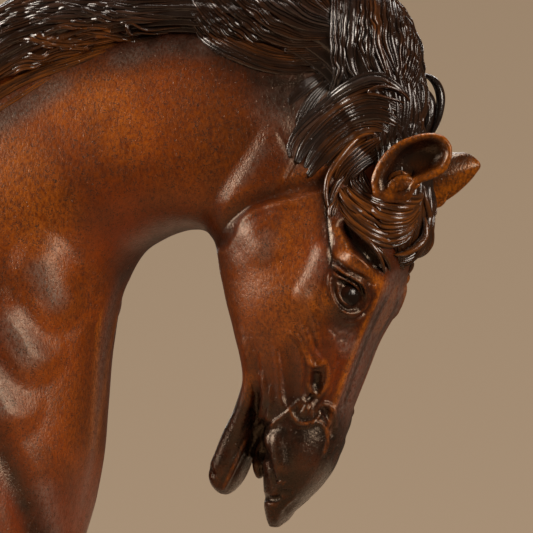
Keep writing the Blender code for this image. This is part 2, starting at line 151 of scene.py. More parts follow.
FORELOCK_SECTIONS = (
    (402, 100, 350, 112, 20, 0.00, 2.0),
    (423, 124, 362, 136, 34, 0.00, 2.1),
    (432, 152, 368, 160, 42, 0.00, 2.2),
    (435, 184, 370, 184, 48, -0.10, 2.2),
    (434, 214, 372, 204, 52, -0.15, 2.2),
    (429, 240, 376, 220, 50, -0.20, 2.2),
    (418, 259, 384, 236, 40, -0.20, 2.1),
    (406, 272, 392, 258, 18, -0.10, 2.0),
)

# Carving: how high (below nought, how deep), the half width, the points (x, y), and where they matter
# how crisp the stroke is, and the share of its length over which each end fades.
BROAD_STROKES = (
    # Brow, temple and the socket of the eye
    (6, 22, ((342, 255), (358, 268), (370, 279)), 1.0, 0.4),
    (4, 10, ((338, 252), (350, 260), (363, 271), (374, 282)), 1.0, 0.4),
    (-11, 13, ((347, 232), (357, 246), (367, 258), (377, 268))),
    (4, 14, ((334, 226), (338, 244))),
    (-8, 22, ((344, 292), (352, 300))),
    (-3, 18, ((330, 318), (344, 330))),
    (5, 14, ((381, 282), (375, 300), (366, 316)), 1.0, 0.3),
    (3, 12, ((322, 252), (314, 274), (304, 294))),
    (4, 24, ((256, 232), (266, 246))),
    # Cheek, and the groove behind it
    (7, 52, ((262, 262), (270, 290))),
    (-6, 13, ((222, 240), (238, 212), (262, 198), (300, 189), (324, 182))),
    # The flat of the face, the nose and the muzzle
    (-5, 17, ((318, 352), (316, 392))),
    (-3, 15, ((289, 352), (291, 392))),
    (2, 40, ((294, 456), (300, 482))),
    (5, 12, ((274, 428), (277, 450), (283, 476)), 1.0, 0.3),
    (3, 11, ((272, 505), (276, 516))),
    # Folds from the jaw to the corner of the mouth
    (3, 9, ((238, 320), (249, 362), (250, 382), (245, 402), (234, 430), (228, 450)), 1.0, 0.4),
    (-3, 7, ((252, 336), (258, 386), (255, 408), (246, 430)), 1.0, 0.5),
    (-7, 12, ((261, 426), (257, 438), (259, 452))),
    # The muscles of the neck and the shoulder
    (3, 18, ((278, 128), (256, 164), (231, 200))),
    (-3, 18, ((304, 150), (286, 182), (262, 202))),
    (-2, 20, ((250, 138), (232, 166), (214, 190))),
    (10, 38, ((42, 262), (56, 296))),
    (11, 38, ((12, 314), (32, 350))),
    (11, 40, ((-14, 366), (10, 402))),
    (-3, 18, ((14, 296), (34, 322), (46, 342))),
    (-3, 20, ((-14, 346), (8, 372), (22, 396))),
    (-7, 26, ((-30, 404), (4, 450), (30, 504), (46, 560))),
    (-3, 28, ((92, 268), (74, 304), (54, 326)), 1.0, 0.3),
    (-8, 46, ((-150, 250), (-110, 330), (-90, 420), (-110, 520))),
    (4, 60, ((-160, 330), (-150, 430))),
)
FINE_STROKES = (
    # The edge down the front of the chest
    (2.0, 3.4, ((101, 306), (98, 322), (96, 345), (94, 380), (92, 415), (89, 450))),
    # The edge of the cheek, and the edges of the flat band from the cheek to the mane
    (2.4, 7, ((222, 244), (230, 230), (244, 218), (262, 208), (281, 205), (304, 205))),
    (-1.2, 4, ((276, 130), (284, 146), (290, 160))),
    (-1.6, 4, ((314, 140), (298, 160), (283, 184))),
    (0.8, 6, ((292, 160), (282, 180), (270, 194))),
    # Eye: brow ridge, lids, corners, tear crease
    (2.4, 4, ((336, 229), (341, 239), (347, 250))),
    (1.4, 2.6, ((343, 253), (355, 260), (367, 269), (380, 281))),
    (-3.0, 4, ((329, 256), (338, 265), (350, 274), (362, 280), (372, 288))),
    (2.6, 3, ((329, 264), (338, 271), (349, 278), (359, 284), (364, 293), (364, 303))),
    (-2.6, 3, ((331, 269), (340, 276), (350, 281), (358, 288), (360, 298))),
    (2.0, 2.6, ((331, 273), (339, 279), (348, 284), (355, 290), (358, 299))),
    (-3.6, 4, ((335, 280), (343, 284), (351, 289), (356, 296), (355, 304))),
    (1.8, 3, ((328, 272), (328, 286), (331, 299), (338, 309), (349, 314), (360, 310), (366, 303))),
    (-2.0, 3, ((332, 280), (333, 293), (338, 304), (346, 310), (355, 307))),
    (1.2, 2.4, ((336, 284), (337, 295), (342, 303), (350, 306))),
    (-2.4, 4, ((367, 287), (371, 297), (368, 308), (360, 316))),
    (-1.3, 3, ((338, 317), (350, 320), (361, 315), (374, 304))),
    (0.9, 2.5, ((346, 315), (353, 316), (362, 310), (371, 304))),
    (0.8, 3, ((334, 330), (343, 324), (354, 322))),
    (0.7, 3, ((332, 342), (335, 335), (342, 333), (347, 338))),
    (-0.9, 3, ((336, 340), (342, 339), (345, 344))),
    (0.7, 3, ((334, 350), (342, 352), (350, 347))),
    (-0.8, 3, ((326, 326), (334, 334), (338, 346))),
    (0.7, 3, ((350, 332), (356, 328), (362, 324))),
    (-0.7, 3, ((346, 330), (354, 336), (352, 344))),
    (1.0, 4, ((296, 286), (306, 300), (312, 318))),
    (-1.0, 5, ((306, 282), (314, 298), (320, 316))),
    (1.2, 4, ((344, 366), (338, 384), (331, 400))),
    (-1.0, 4, ((338, 352), (334, 372), (329, 390))),
    # The crease behind the cheek, and small lines above it
    (-0.9, 3.0, ((324, 198), (326, 222), (328, 242), (329, 258), (332, 272))),
    # Veins and bones of the face
    (-1.7, 4, ((284, 336), (293, 337), (299, 344), (303, 354), (305, 368), (305, 386), (304, 402))),
    (2.0, 5, ((274, 344), (277, 360), (279, 378), (281, 398), (286, 410))),
    (2.2, 5, ((286, 328), (296, 336), (304, 347), (309, 360), (309, 374))),
    (2.2, 5, ((301, 318), (306, 336), (313, 351), (322, 362))),
    (1.5, 4, ((313, 316), (316, 334), (319, 352))),
    (2.2, 4, ((306, 359), (314, 365), (324, 360))),
    (-3.6, 7, ((316, 370), (315, 388))),
    (2.0, 4, ((323, 359), (327, 372), (325, 384), (318, 394), (311, 391), (307, 382), (307, 368))),
    (-2.6, 4, ((314, 392), (306, 400))),
    (1.4, 4, ((337, 360), (332, 376), (328, 390), (320, 403))),
    (1.0, 4, ((346, 350), (341, 372), (335, 394))),
    (2.8, 4, ((382, 286), (375, 302), (364, 326), (355, 348), (347, 369), (339, 392), (331, 414), (328, 438))),
    (-1.8, 5, ((392, 286), (380, 310), (368, 338), (357, 368), (347, 394), (339, 418))),
    (-1.6, 4, ((401, 282), (390, 304), (375, 334))),
    (1.2, 3, ((397, 280), (384, 304), (371, 330))),
    # Nostril and muzzle
    (2.8, 9, ((302, 406), (309, 410))),
    (1.9, 3.0, ((288, 405), (293, 415), (300, 421), (309, 421), (317, 416), (321, 408))),
    (2.0, 3.0, ((303, 396), (293, 405), (284, 413), (275, 420), (269, 428), (266, 438), (267, 452))),
    (1.9, 3.2, ((296, 424), (306, 425), (316, 421), (323, 425), (327, 433), (326, 444), (321, 456))),
    (-4.0, 5, ((320, 406), (328, 415), (331, 428), (330, 440))),
    (2.0, 4, ((315, 409), (321, 403), (330, 406), (335, 418), (335, 434))),
    (-2.2, 4, ((266, 442), (268, 456), (272, 470), (276, 487))),
    (2.0, 6, ((279, 477), (285, 482))),
    (-1.8, 5, ((276, 489), (292, 490))),
    (-3.0, 5, ((284, 514), (289, 507), (300, 498))),
    (1.6, 3, ((279, 510), (286, 502), (297, 494))),
    (-3.0, 5, ((262, 494), (272, 497), (282, 494))),
    (-3.6, 7, ((341, 445), (336, 461), (326, 474))),
    # Mouth and lower jaw
    (2.6, 5, ((260, 368), (265, 392), (262, 412), (253, 430))),
    (1.8, 4, ((270, 382), (270, 404), (265, 426))),
    (2.4, 4, ((253, 431), (243, 448), (236, 462), (229, 476), (222, 491))),
    (-2.2, 4, ((259, 436), (249, 451), (241, 465), (233, 481))),
    (-2.0, 5, ((207, 463), (215, 476))),
)

# The masks on the skin's colours: amount, width, the points (x, y), and how crisp where that matters.
# Beside the patina's own tones, the grey holds painted sheen and reflections, and the dark painted shade round the
# eye.
SKIN_DARK = (
    (1.0, 62, ((292, 444), (300, 478), (278, 512))),
    (0.9, 22, ((296, 440), (314, 444))),
    (0.5, 14, ((300, 406), (308, 410))),
    # The eye: dark bronze, with painted shade in its socket
    (1.0, 26, ((344, 288), (350, 300)), 1.6),
    (0.6, 26, ((388, 246), (402, 262))),
    (0.9, 34, ((274, 428), (268, 480), (272, 522))),
    (0.8, 30, ((318, 428), (330, 450), (306, 492))),
    (0.9, 28, ((244, 404), (233, 436), (220, 472), (217, 496))),
    (0.8, 16, ((240, 424), (226, 456), (216, 486))),
    (0.5, 20, ((262, 340), (263, 380), (262, 400), (254, 424))),
    (1.0, 18, ((264, 424), (258, 450), (262, 478))),
    (0.8, 30, ((-230, 260), (-110, 170), (-40, 122), (0, 104), (60, 68), (130, 44), (200, 42), (242, 66),
        (292, 84))),
    (0.45, 44, ((296, 92), (318, 124), (304, 168))),
    (0.4, 60, ((240, 60), (280, 110), (270, 150))),
    (0.6, 30, ((342, 204), (354, 240))),
    (1.0, 12, ((348, 232), (358, 246), (368, 259), (377, 268))),
    (0.7, 7, ((330, 262), (346, 273), (364, 284))),
    (0.9, 3, ((323, 198), (326, 222), (328, 242), (330, 268))),
    (0.5, 8, ((322, 200), (327, 242), (329, 268))),
    (0.5, 22, ((320, 320), (342, 320))),
    (0.12, 40, ((216, 100), (214, 160), (200, 210))),
    (0.6, 40, ((290, 470), (284, 500))),
    (0.7, 2.4, ((400, 288), (384, 322), (368, 362), (354, 400))),
    (0.6, 2.0, ((384, 300), (368, 334), (354, 370), (344, 404))),
    (0.45, 15, ((294, 345), (294, 400))),
    (0.9, 9, ((316, 370), (315, 390))),
    (0.9, 4, ((313, 392), (306, 400))),
    (0.9, 12, ((324, 412), (330, 436))),
    (0.45, 14, ((92, 330), (88, 380), (84, 440))),
    (0.35, 12, ((126, 276), (118, 310), (112, 360), (106, 430))),
    (0.55, 26, ((128, 270), (160, 242), (190, 232), (214, 234))),
    (0.5, 14, ((226, 262), (232, 320), (246, 360))),
    (0.6, 15, ((-4, 430), (12, 462), (34, 510), (44, 560))),
    (0.5, 9, ((6, 452), (22, 490), (34, 530))),
    (0.5, 10, ((222, 238), (240, 212), (262, 199), (300, 190), (322, 184))),
)
SKIN_GREY_BLOOM_AND_SHEEN = (
    # Painted reflections down the front of the neck, in the groove low on the chest and along the underside of the
    # throat
    (0.9, 10, ((124, 280), (111, 320), (104, 360), (101, 400), (98, 440), (92, 480), (84, 530))),
    (0.7, 13, ((44, 486), (54, 540))),
    (0.5, 12, ((150, 252), (176, 240), (206, 240))),
    # Grey bloom of the patina along the mane's edge and where hair lies on the neck
    (0.9, 14, ((-60, 154), (0, 116), (30, 100), (60, 82))),
    (0.9, 14, ((120, 56), (150, 46), (180, 44), (206, 48))),
    (0.9, 34, ((282, 104), (300, 118), (318, 96), (334, 84))),
    (0.7, 14, ((306, 140), (296, 160))),
    (0.6, 8, ((330, 84), (316, 104), (306, 126))),
    # Painted sheen on the cheek and on the flat band of the neck behind it
    (0.6, 11, ((317, 260), (304, 292))),
    (0.7, 8, ((264, 150), (242, 180))),
    # Painted highlights on the three bulges of the chest
    (1.0, 15, ((42, 268), (56, 294))),
    (1.0, 17, ((16, 320), (32, 348))),
    (1.0, 16, ((-6, 370), (8, 398))),
    # Painted sheen on the wrinkles below the eye
    (0.6, 13, ((340, 330), (348, 346))),
    # Painted reflections streaking the flat of the nose and the far brow
    (0.75, 11, ((396, 284), (381, 322), (366, 358), (352, 394), (340, 428)), 3.0),
    (0.9, 3, ((388, 290), (372, 322), (358, 358), (346, 394), (337, 428)), 2.0),
    (0.9, 2.4, ((404, 286), (388, 320), (372, 356), (357, 394)), 2.0),
    (0.8, 2, ((396, 300), (380, 336), (364, 374), (350, 412)), 2.0),
    (0.6, 9, ((408, 278), (398, 306), (384, 332))),
    # Painted highlight on the top of the cheek
    (0.5, 9, ((268, 238), (266, 256))),
)
SKIN_RUBBED = (
    (1.0, 1.6, ((101, 308), (98, 322), (96, 345), (94, 380), (92, 415), (89, 448))),
    (0.7, 4, ((98, 322), (96, 345), (94, 380), (92, 415), (89, 448))),
    (1.0, 9, ((340, 256), (358, 271), (380, 287))),
    (1.0, 5, ((334, 231), (340, 241), (346, 252))),
    (0.5, 50, ((252, 290), (262, 330))),
    (0.35, 90, ((0, 150), (40, 120), (110, 108), (180, 118), (210, 150))),
    (0.55, 34, ((66, 96), (110, 100), (130, 130))),
    (0.40, 60, ((20, 220), (60, 300), (70, 420))),
    (1.0, 3.5, ((381, 290), (373, 304), (363, 325), (354, 347), (346, 368), (338, 391), (331, 412),
        (328, 432))),
    (0.8, 3, ((399, 284), (388, 304), (374, 332))),
    (0.8, 4, ((300, 346), (309, 360), (322, 363))),
    (0.6, 3, ((324, 360), (327, 374), (324, 386), (315, 394), (308, 384))),
    (0.7, 2.4, ((288, 405), (293, 415), (300, 421), (309, 421), (317, 418), (324, 426), (327, 436),
        (324, 450))),
    (0.5, 30, ((300, 210), (290, 250), (300, 320))),
    (0.9, 17, ((312, 298), (322, 302))),
    (0.5, 7, ((303, 404), (311, 410))),
    (0.7, 2, ((251, 430), (240, 450), (231, 470), (223, 488))),
    (0.7, 9, ((250, 378), (247, 398))),
    (0.6, 40, ((10, 160), (40, 210))),
    (0.6, 12, ((290, 176), (316, 172))),
)

# The masks on the hair, laid out in the same way; the grey also holds painted highlights along the strands.
HAIR_GREY_BLOOM_AND_SHEEN = (
    # Grey bloom on the hair beside the cheek
    (0.9, 22, ((334, 82), (312, 104), (296, 128))),
    (0.9, 8, ((330, 98), (350, 87), (376, 83))),
    # Painted highlights along the strands of the mane and the poll
    (0.5, 12, ((30, 2), (90, 6), (140, 8), (186, 12))),
    (0.8, 12, ((275, 4), (300, 16), (325, 30))),
    (0.6, 6, ((347, 0), (350, 40), (348, 76))),
    (0.5, 6, ((370, 40), (380, 76))),
    # Grey patch where the hair's tips lie on the neck
    (0.8, 8, ((300, 166), (316, 140))),
    # Painted highlight on a lock beside the ear
    (0.6, 8, ((354, 180), (360, 192))),
)
HAIR_RUBBED = (
    (0.6, 34, ((-30, 112), (16, 74), (66, 54), (104, 47))),
    (0.55, 44, ((346, 206), (382, 226), (404, 236))),
    (0.5, 6, ((366, -10), (374, 20), (380, 50), (384, 76))),
    (0.9, 10, ((350, 198), (364, 214), (384, 224), (404, 226))),
    (0.7, 10, ((346, 214), (362, 234), (384, 242))),
    (0.7, 16, ((372, 204), (396, 212), (414, 208))),
    (0.7, 7, ((330, 186), (338, 200), (350, 214))),
    (0.5, 12, ((330, 150), (352, 140), (372, 136))),
    (1.0, 9, ((36, 37), (70, 38), (112, 35))),
    (0.9, 11, ((-60, 108), (0, 72), (40, 58), (122, 42))),
    (0.8, 7, ((-40, 132), (0, 101), (40, 77), (80, 60))),
    (0.6, 6, ((60, 21), (104, 27))),
    (0.5, 7, ((214, 38), (246, 46), (290, 63))),
    (0.7, 14, ((344, 206), (370, 224), (396, 234))),
    (0.9, 7, ((328, 180), (344, 158), (366, 139))),
    (0.5, 8, ((298, 142), (330, 114), (372, 96))),
    (0.8, 7, ((338, 198), (346, 212))),
    (0.7, 5, ((398, 258), (414, 250), (420, 240))),
    (0.5, 5, ((372, 20), (376, 50))),
)

# The locks: half width, rise, how many strands, how far each is lifted off, then the points (x, y).
MANE_BACK_LOCKS = (
    (11, 5, 5, 0, ((192, -26), (150, -30), (100, -24), (50, -12), (0, 10), (-60, 42), (-130, 92), (-196, 156))),
    (8, 5, 4, 0, ((190, -10), (150, -14), (110, -14), (70, -10), (30, -4), (-10, 8), (-60, 32), (-120, 74))),
    (8, 5, 5, 1, ((189, 0), (160, 0), (125, 0), (95, -2), (65, -2), (35, 0), (5, 5), (-30, 18), (-80, 48),
        (-140, 96))),
    (7, 5, 4, 1, ((188, 9), (160, 9), (130, 9), (105, 7), (80, 4), (50, 6), (20, 9), (0, 13), (-40, 30),
        (-90, 64))),
    (6, 5, 4, 1, ((188, 18), (165, 17), (140, 16), (118, 15), (95, 11), (70, 11), (45, 14), (20, 19),
        (0, 25), (-40, 42))),
    (5, 4, 3, 1, ((140, 23), (112, 23), (88, 21), (64, 20), (44, 23), (22, 28), (0, 36), (-30, 52), (-80, 88))),
    (5, 4, 3, 0, ((186, 31), (160, 33), (136, 36), (112, 32), (84, 28), (56, 25))),
    (6, 4, 3, 1, ((125, 33), (100, 36), (74, 39), (50, 37), (32, 32), (15, 33), (-5, 44), (-40, 66),
        (-90, 104))),
    (7, 5, 5, 1, ((127, 38), (100, 42), (75, 46), (50, 51), (25, 56), (0, 64), (-30, 80), (-75, 112),
        (-120, 152))),
    (7, 5, 4, 1, ((124, 41), (100, 48), (75, 56), (50, 63), (25, 72), (0, 85), (-30, 106), (-66, 138),
        (-104, 178))),
    (5, 4, 3, 0, ((106, 50), (80, 60), (58, 69), (38, 80), (18, 93), (0, 104), (-26, 124), (-54, 150),
        (-84, 184))),
    (9, 5, 4, 0, ((-60, 60), (-100, 96), (-140, 140), (-176, 190), (-206, 240), (-226, 276))),
    (8, 5, 4, 0, ((-90, 60), (-130, 92), (-170, 136), (-204, 186), (-230, 236), (-246, 280))),
    (8, 5, 4, 0, ((-70, 100), (-104, 136), (-134, 176), (-160, 216), (-180, 250))),
    (1.7, 4, 1, 4, ((186, 26), (160, 26), (140, 24.5), (131, 23), (128.5, 26), (133, 29), (150, 30.5),
        (173, 31))),
)
MANE_FORWARD_LOCKS = (
    (5, 5, 3, 1, ((190, 18), (197, 28), (206, 38), (218, 47), (231, 55), (246, 62), (264, 69), (284, 73),
        (308, 73), (330, 70))),
    (5, 5, 3, 2, ((189, 4), (198, 17), (208, 29), (222, 41), (240, 52), (258, 60), (276, 65), (300, 66),
        (332, 65))),
    (6, 5, 4, 2, ((190, -8), (203, 10), (217, 25), (233, 38), (250, 49), (269, 57), (292, 60), (333, 60))),
    (5, 5, 3, 2, ((198, -12), (212, 6), (226, 20), (241, 32), (256, 43), (273, 51), (292, 54), (334, 54))),
    (5, 5, 3, 2, ((208, -16), (222, 1), (238, 15), (252, 27), (268, 38), (284, 45), (302, 48), (334, 48))),
    (6, 5, 4, 2, ((220, -20), (238, -2), (255, 12), (270, 24), (286, 34), (304, 40), (334, 42))),
    (6, 5, 3, 2, ((236, -24), (254, -5), (272, 10), (290, 22), (308, 30), (334, 36))),
    (6, 6, 4, 3, ((254, -26), (272, -6), (290, 8), (308, 19), (324, 26), (334, 31))),
    (6, 6, 4, 3, ((272, -30), (290, -10), (306, 5), (320, 15), (334, 25))),
    (6, 5, 3, 2, ((290, -34), (304, -14), (318, 2), (333, 17))),
    (5, 5, 3, 1, ((306, -34), (318, -16), (334, 6))),
)
MANE_POLL_LOCKS = (
    (5, 5, 3, 3, ((335, -34), (335, 0), (335, 30), (336, 58), (338, 78), (333, 92), (325, 106))),
    (4, 5, 2, 4, ((343, -36), (342, -6), (343, 14), (341, 34), (341, 56), (343, 74), (347, 88))),
    (6, 6, 3, 4, ((353, -38), (352, 0), (350, 18), (349, 38), (348, 58), (350, 72), (357, 84))),
    (6, 6, 3, 4, ((363, -36), (361, 2), (360, 24), (360, 45), (363, 63), (369, 78))),
    (5, 6, 3, 5, ((369, -34), (370, -4), (370, 18), (372, 36), (376, 56), (381, 70), (385, 82))),
    (4, 5, 2, 4, ((366, 26), (367, 46), (370, 64), (373, 78))),
    (7, 6, 4, 4, ((376, -32), (380, -6), (381, 14), (382, 34), (386, 52), (391, 66), (395, 82))),
    (7, 6, 4, 3, ((384, -28), (390, -4), (394, 18), (396, 40), (397, 58), (397, 74), (396, 88))),
    (7, 6, 4, 3, ((390, -24), (398, 0), (403, 22), (407, 42), (408, 60), (405, 78), (402, 94))),
    (6, 5, 3, 2, ((396, -12), (405, 14), (412, 36), (416, 54), (415, 72), (410, 90), (405, 102))),
    (7, 5, 4, 2, ((416, 62), (420, 82), (421, 102), (420, 122), (418, 142))),
    (6, 5, 3, 2, ((408, 88), (411, 104), (411, 124), (409, 142))),
)
SIDE_LOCKS = (
    (5, 2.5, 5, 0, ((336, 80), (322, 91), (309, 106), (299, 124), (292, 140))),
    (5, 2.5, 5, 0, ((326, 76), (311, 85), (296, 97), (284, 112))),
    (5, 2.5, 4, 0, ((342, 92), (330, 104), (318, 118), (308, 134))),
    (6, 4, 3, 2, ((290, 161), (290, 149), (297, 136), (308, 124), (322, 112), (338, 101), (354, 93),
        (370, 90), (386, 93), (402, 102))),
    (5, 4, 3, 4, ((318, 116), (328, 104), (342, 94), (356, 87), (370, 83), (384, 86), (398, 96), (410, 108))),
    (1.8, 4, 1, 7, ((408, 106), (397, 97), (385, 92.5), (375, 93), (369.5, 97), (377, 101), (392, 105),
        (406, 110))),
    (7, 4, 4, 3, ((296, 166), (304, 150), (316, 135), (330, 122), (346, 112), (362, 106), (378, 106),
        (394, 112), (408, 122))),
    (7, 4, 4, 2, ((304, 172), (314, 156), (328, 140), (344, 128), (360, 121), (376, 120), (390, 125),
        (402, 134))),
    (7, 4, 4, 2, ((306, 180), (320, 162), (334, 148), (348, 137), (362, 131), (376, 131), (388, 138))),
    (5, 4, 3, 2, ((322, 172), (334, 158), (346, 148), (358, 142), (368, 140))),
    (3.0, 6, 1, 5, ((376, 138), (366, 138), (356, 143), (346, 152), (338, 163), (330, 174), (325.5, 186),
        (325, 200), (328, 214))),
    (6, 4, 4, 3, ((334, 184), (340, 172), (349, 163), (359, 155), (368, 149), (380, 142))),
    (5, 4, 4, 4, ((342, 190), (347, 181), (354, 173), (363, 166), (372, 160), (380, 152))),
    (4.0, 5, 3, 4, ((350, 176), (352, 186), (358, 195), (366, 201))),
    (4.0, 5, 3, 4, ((360, 172), (361, 184), (366, 194), (374, 200))),
    (3.4, 4, 2, 2, ((329, 212), (331, 198), (337, 186), (346, 177))),
    (4, 4, 3, 1, ((330, 226), (331, 212), (336, 200))),
)
FORELOCK_LOCKS = (
    (5, 6, 2, 3, ((346, 182), (354, 193), (366, 201), (381, 206), (396, 209), (409, 207), (420, 200))),
    (5, 7, 2, 5, ((344, 187), (353, 200), (365, 210), (379, 217), (394, 220), (407, 217), (419, 207))),
    (6, 7, 3, 4, ((340, 188), (349, 204), (361, 217), (375, 226), (391, 229), (406, 226), (419, 213))),
    (3.4, 5, 1, 6, ((336, 188), (342, 201), (351, 211), (362, 218), (374, 222))),
    (6, 6, 2, 3, ((335, 196), (346, 213), (359, 227), (374, 237), (391, 239), (406, 235), (418, 222))),
    (4, 5, 2, 3, ((334, 208), (344, 221), (356, 232), (368, 241), (384, 247), (402, 244), (414, 232))),
    (4.5, 6, 2, 6, ((366, 196), (384, 201), (400, 204), (412, 203), (421, 196))),
    (3.0, 6, 1, 7, ((372, 206), (388, 211), (404, 211), (416, 204))),
    (3.0, 6, 1, 6, ((390, 258), (403, 252), (413, 244), (420, 232), (422, 218))),
    (5, 6, 2, 4, ((421, 186), (424, 206), (425, 226), (419, 241), (408, 252), (394, 258))),
    (5, 6, 3, 4, ((429, 186), (431, 210), (430, 230), (423, 247), (411, 259), (396, 266))),
    (5, 6, 2, 3, ((434, 194), (435, 218), (432, 237), (424, 252), (411, 264), (396, 271))),
    (2.2, 3, 1, 2, ((350, 228), (360, 239), (371, 250), (379, 264), (384, 278))),
    (2.0, 3, 1, 2, ((366, 243), (376, 253), (385, 265), (389, 276))),
)
# The locks that loop beside the far ear: half width, how far out, and their points.
FAR_LOOPS = (
    (3.4, 44, ((392, 72), (403, 74), (411, 82), (415, 95), (414, 110), (410, 124), (403, 138))),
    (3.6, 43, ((398, 84), (404, 96), (405, 110), (402, 126), (396, 140))),
    (4.0, 40, ((386, 64), (396, 82), (399, 104), (396, 126), (388, 146))),
)

# The ear's outer edge and the edge of its hollow, seen from the horse's side, point by point.
EAR_RIM = (
    (371, 198), (369, 183), (377, 164), (392, 149), (411, 141), (428, 139), (440, 143),
    (447, 154), (446, 166), (440, 177), (427, 184), (413, 190), (405, 204), (385, 206),
)
EAR_HOLLOW = (
    (380, 193), (380, 183), (387, 169), (399, 155), (413, 147), (427, 145), (436, 148),
    (441, 156), (440, 164), (434, 172), (423, 178), (410, 183), (402, 194), (389, 197),
)
# The far ear's edges, as they would show on the near side: lower, longer and more pointed.
FAR_EAR_RIM = (
    (366, 206), (365, 192), (371, 178), (382, 165), (395, 156), (409, 150), (421, 148.5),
    (431, 150.5), (440.3, 160.5), (436, 170), (428, 180), (415, 192), (399, 202), (382, 209),
)
FAR_EAR_HOLLOW = (
    (375, 200), (374, 191), (380, 180), (389, 170), (400, 162), (411, 156), (421, 154.5),
    (428, 156), (434, 161), (431, 167), (424, 175), (412, 186), (398, 195), (386, 201),
)
# The ear's profile, from the hollow's floor over the rim to the back: how far from the hollow's edge
# (0) to the outer edge (1), the ring's size, and how deep.
EAR_PROFILE = (
    (0.0, 0.02, 15.0), (0.0, 0.30, 14.5), (0.0, 0.58, 12.5), (0.0, 0.80, 8.0), (0.0, 0.93, 3.2),
        (0.0, 1.00, 0.6),
    (0.3, 1.00, -1.2), (0.7, 1.00, -1.4), (1.0, 1.00, 0.6), (1.0, 0.985, 3.0), (1.0, 0.93, 6.5),
    (1.0, 0.72, 13.0), (1.0, 0.42, 19.0), (1.0, 0.02, 23.0),
)
# The folds of flesh in the ear's root: half width, how deep each lies, and its points.
EAR_FOLDS = (
    (6.0, 4.0, ((377, 200), (385, 195), (393, 190), (401, 188), (408, 190), (413, 188))),
    (3.2, 1.6, ((383, 193), (389, 187), (397, 183), (405, 183), (411, 187))),
    (3.0, 0.4, ((384, 202), (394, 201), (403, 199), (409, 192), (416, 188))),
    (2.2, 4.5, ((384, 186), (390, 179), (398, 177), (405, 179))),
)
# Where the ears are dark and where they are rubbed bright.
EAR_DARK = (
    (0.9, 17, ((388, 180), (398, 164), (424, 156))),
    (0.40, 14, ((408, 170), (430, 160))),
    (0.80, 6, ((380, 190), (388, 180), (398, 174), (408, 176))),
    (0.60, 5, ((394, 196), (402, 194))),
)
FAR_EAR_DARK = ((0.7, 10, ((374, 182), (392, 164), (412, 155), (430, 155))), (0.5, 12, ((390, 178),
        (410, 170))))
FAR_EAR_RUBBED = ((0.9, 9, ((384, 204), (408, 192), (426, 178), (438, 164))), (0.6, 6, ((436, 156),
        (438, 164))))
EAR_RUBBED = (
    (0.9, 8, ((424, 184), (440, 174), (447, 162))),
    (0.9, 5, ((372, 196), (370, 184), (378, 165), (393, 150), (411, 142), (428, 140), (440, 144), (447, 154))),
    (0.9, 6, ((386, 198), (389, 190), (395, 184), (403, 182), (410, 186))),
)


class Paint(Enum):
    """The masks that each piece carries for its colours, by the name of the attribute; the grey holds painted sheen
    as well as bloom.
    """

    DARK = "dark"
    # Grey bloom, and painted sheen, highlights and reflections
    GREY_BLOOM_AND_SHEEN = "grey_bloom_and_sheen"
    RUBBED = "rubbed"
    HOLLOW = "hollow"
    PROUD = "proud"


@dataclass(frozen=True)
class Drawing:
    """The side drawing that the horse is laid out on."""

    unit: float = 0.140 / 440.0
    turn: float = math.radians(18.0)
    lift: float = math.tan(math.radians(3.0)) / math.cos(math.radians(18.0))
    foot_x: float = -107.0
    ground_y: float = 548.0

    def across(self, x: float, off: float = 0.0) -> float:
        """The place along X, in metres, of the drawing's x, for a point off the middle plane."""
        return (x - self.foot_x + off * math.sin(self.turn)) / math.cos(self.turn) * self.unit

    def height(self, y: float) -> float:
        """The height in metres of the drawing's y."""
        return (self.ground_y - y) * self.unit

    def point(self, x: float, y: float, off: float = 0.0, side: int = 1) -> Vector:
        """A point that the drawing shows at x, y.

        Args:
            x: The drawing's x.
            y: The drawing's y.
            off: How far it lies off the middle plane, in units.
            side: 1 for the near side, -1 for the far side.

        Returns:
            The point in metres.
        """
        return Vector((self.across(x, off), -off * self.unit * side, self.height(y + off * self.lift)))

    def sight(self) -> Vector:
        """The direction in which the drawing is seen."""
        return Vector((-math.tan(self.turn), 1.0, self.lift)).normalized()

    def seen(self, points: np.ndarray) -> np.ndarray:
        """Where the drawing shows points, with the far side's shown as the near side's.

        Args:
            points: Points in metres, one a row.

        Returns:
            The drawing's x and y, one pair a row.
        """
        turned = points[:, 0] * math.cos(self.turn) - np.abs(points[:, 1]) * math.sin(self.turn)
        raised = points[:, 2] + np.abs(points[:, 1]) * self.lift
        return np.stack([self.foot_x + turned / self.unit, self.ground_y - raised / self.unit], axis=1)


DRAWING = Drawing()


def smooth_rows(rows: Iterable[Sequence[float]], steps: int) -> np.ndarray:
    """Rows of numbers read along a Catmull-Rom curve through the given rows.

    Args:
        rows: The rows that the curve goes through.
        steps: How many rows to make for each span.

    Returns:
        The rows along the curve.
    """
    rows = np.asarray(list(rows), float)
    ends = np.vstack([2 * rows[0] - rows[1], rows, 2 * rows[-1] - rows[-2]])
    made = []
    for i in range(len(rows) - 1):
        a, b, c, d = ends[i : i + 4]
        for t in np.arange(steps) / steps:
            made.append(
                0.5 * (2 * b + (c - a) * t + (2 * a - 5 * b + 4 * c - d) * t**2 + (3 * b - a - 3 * c + d) * t**3)
            )
    made.append(rows[-1])
    return np.array(made)


def reach_of_path(at: np.ndarray, path: Points) -> tuple[np.ndarray, np.ndarray]:
    """How far each drawn point is from a path, and how far along the path its nearest place is.

    Args:
        at: Drawn points.
        path: The path's points.

    Returns:
        The distances, and the lengths along the path.
    """
    nearest = np.full(len(at), np.inf)
    along = np.zeros(len(at))
    walked = 0.0
    for a, b in zip(path, path[1:]):
        start, span = np.array(a, float), np.subtract(b, a).astype(float)
        share = np.clip(((at - start) @ span) / (span @ span), 0, 1)
        away = np.hypot(*(at - start - share[:, None] * span).T)
        closer = away < nearest
        nearest[closer] = away[closer]
        along[closer] = walked + share[closer] * math.hypot(*span)
        walked += math.hypot(*span)
    return nearest, along


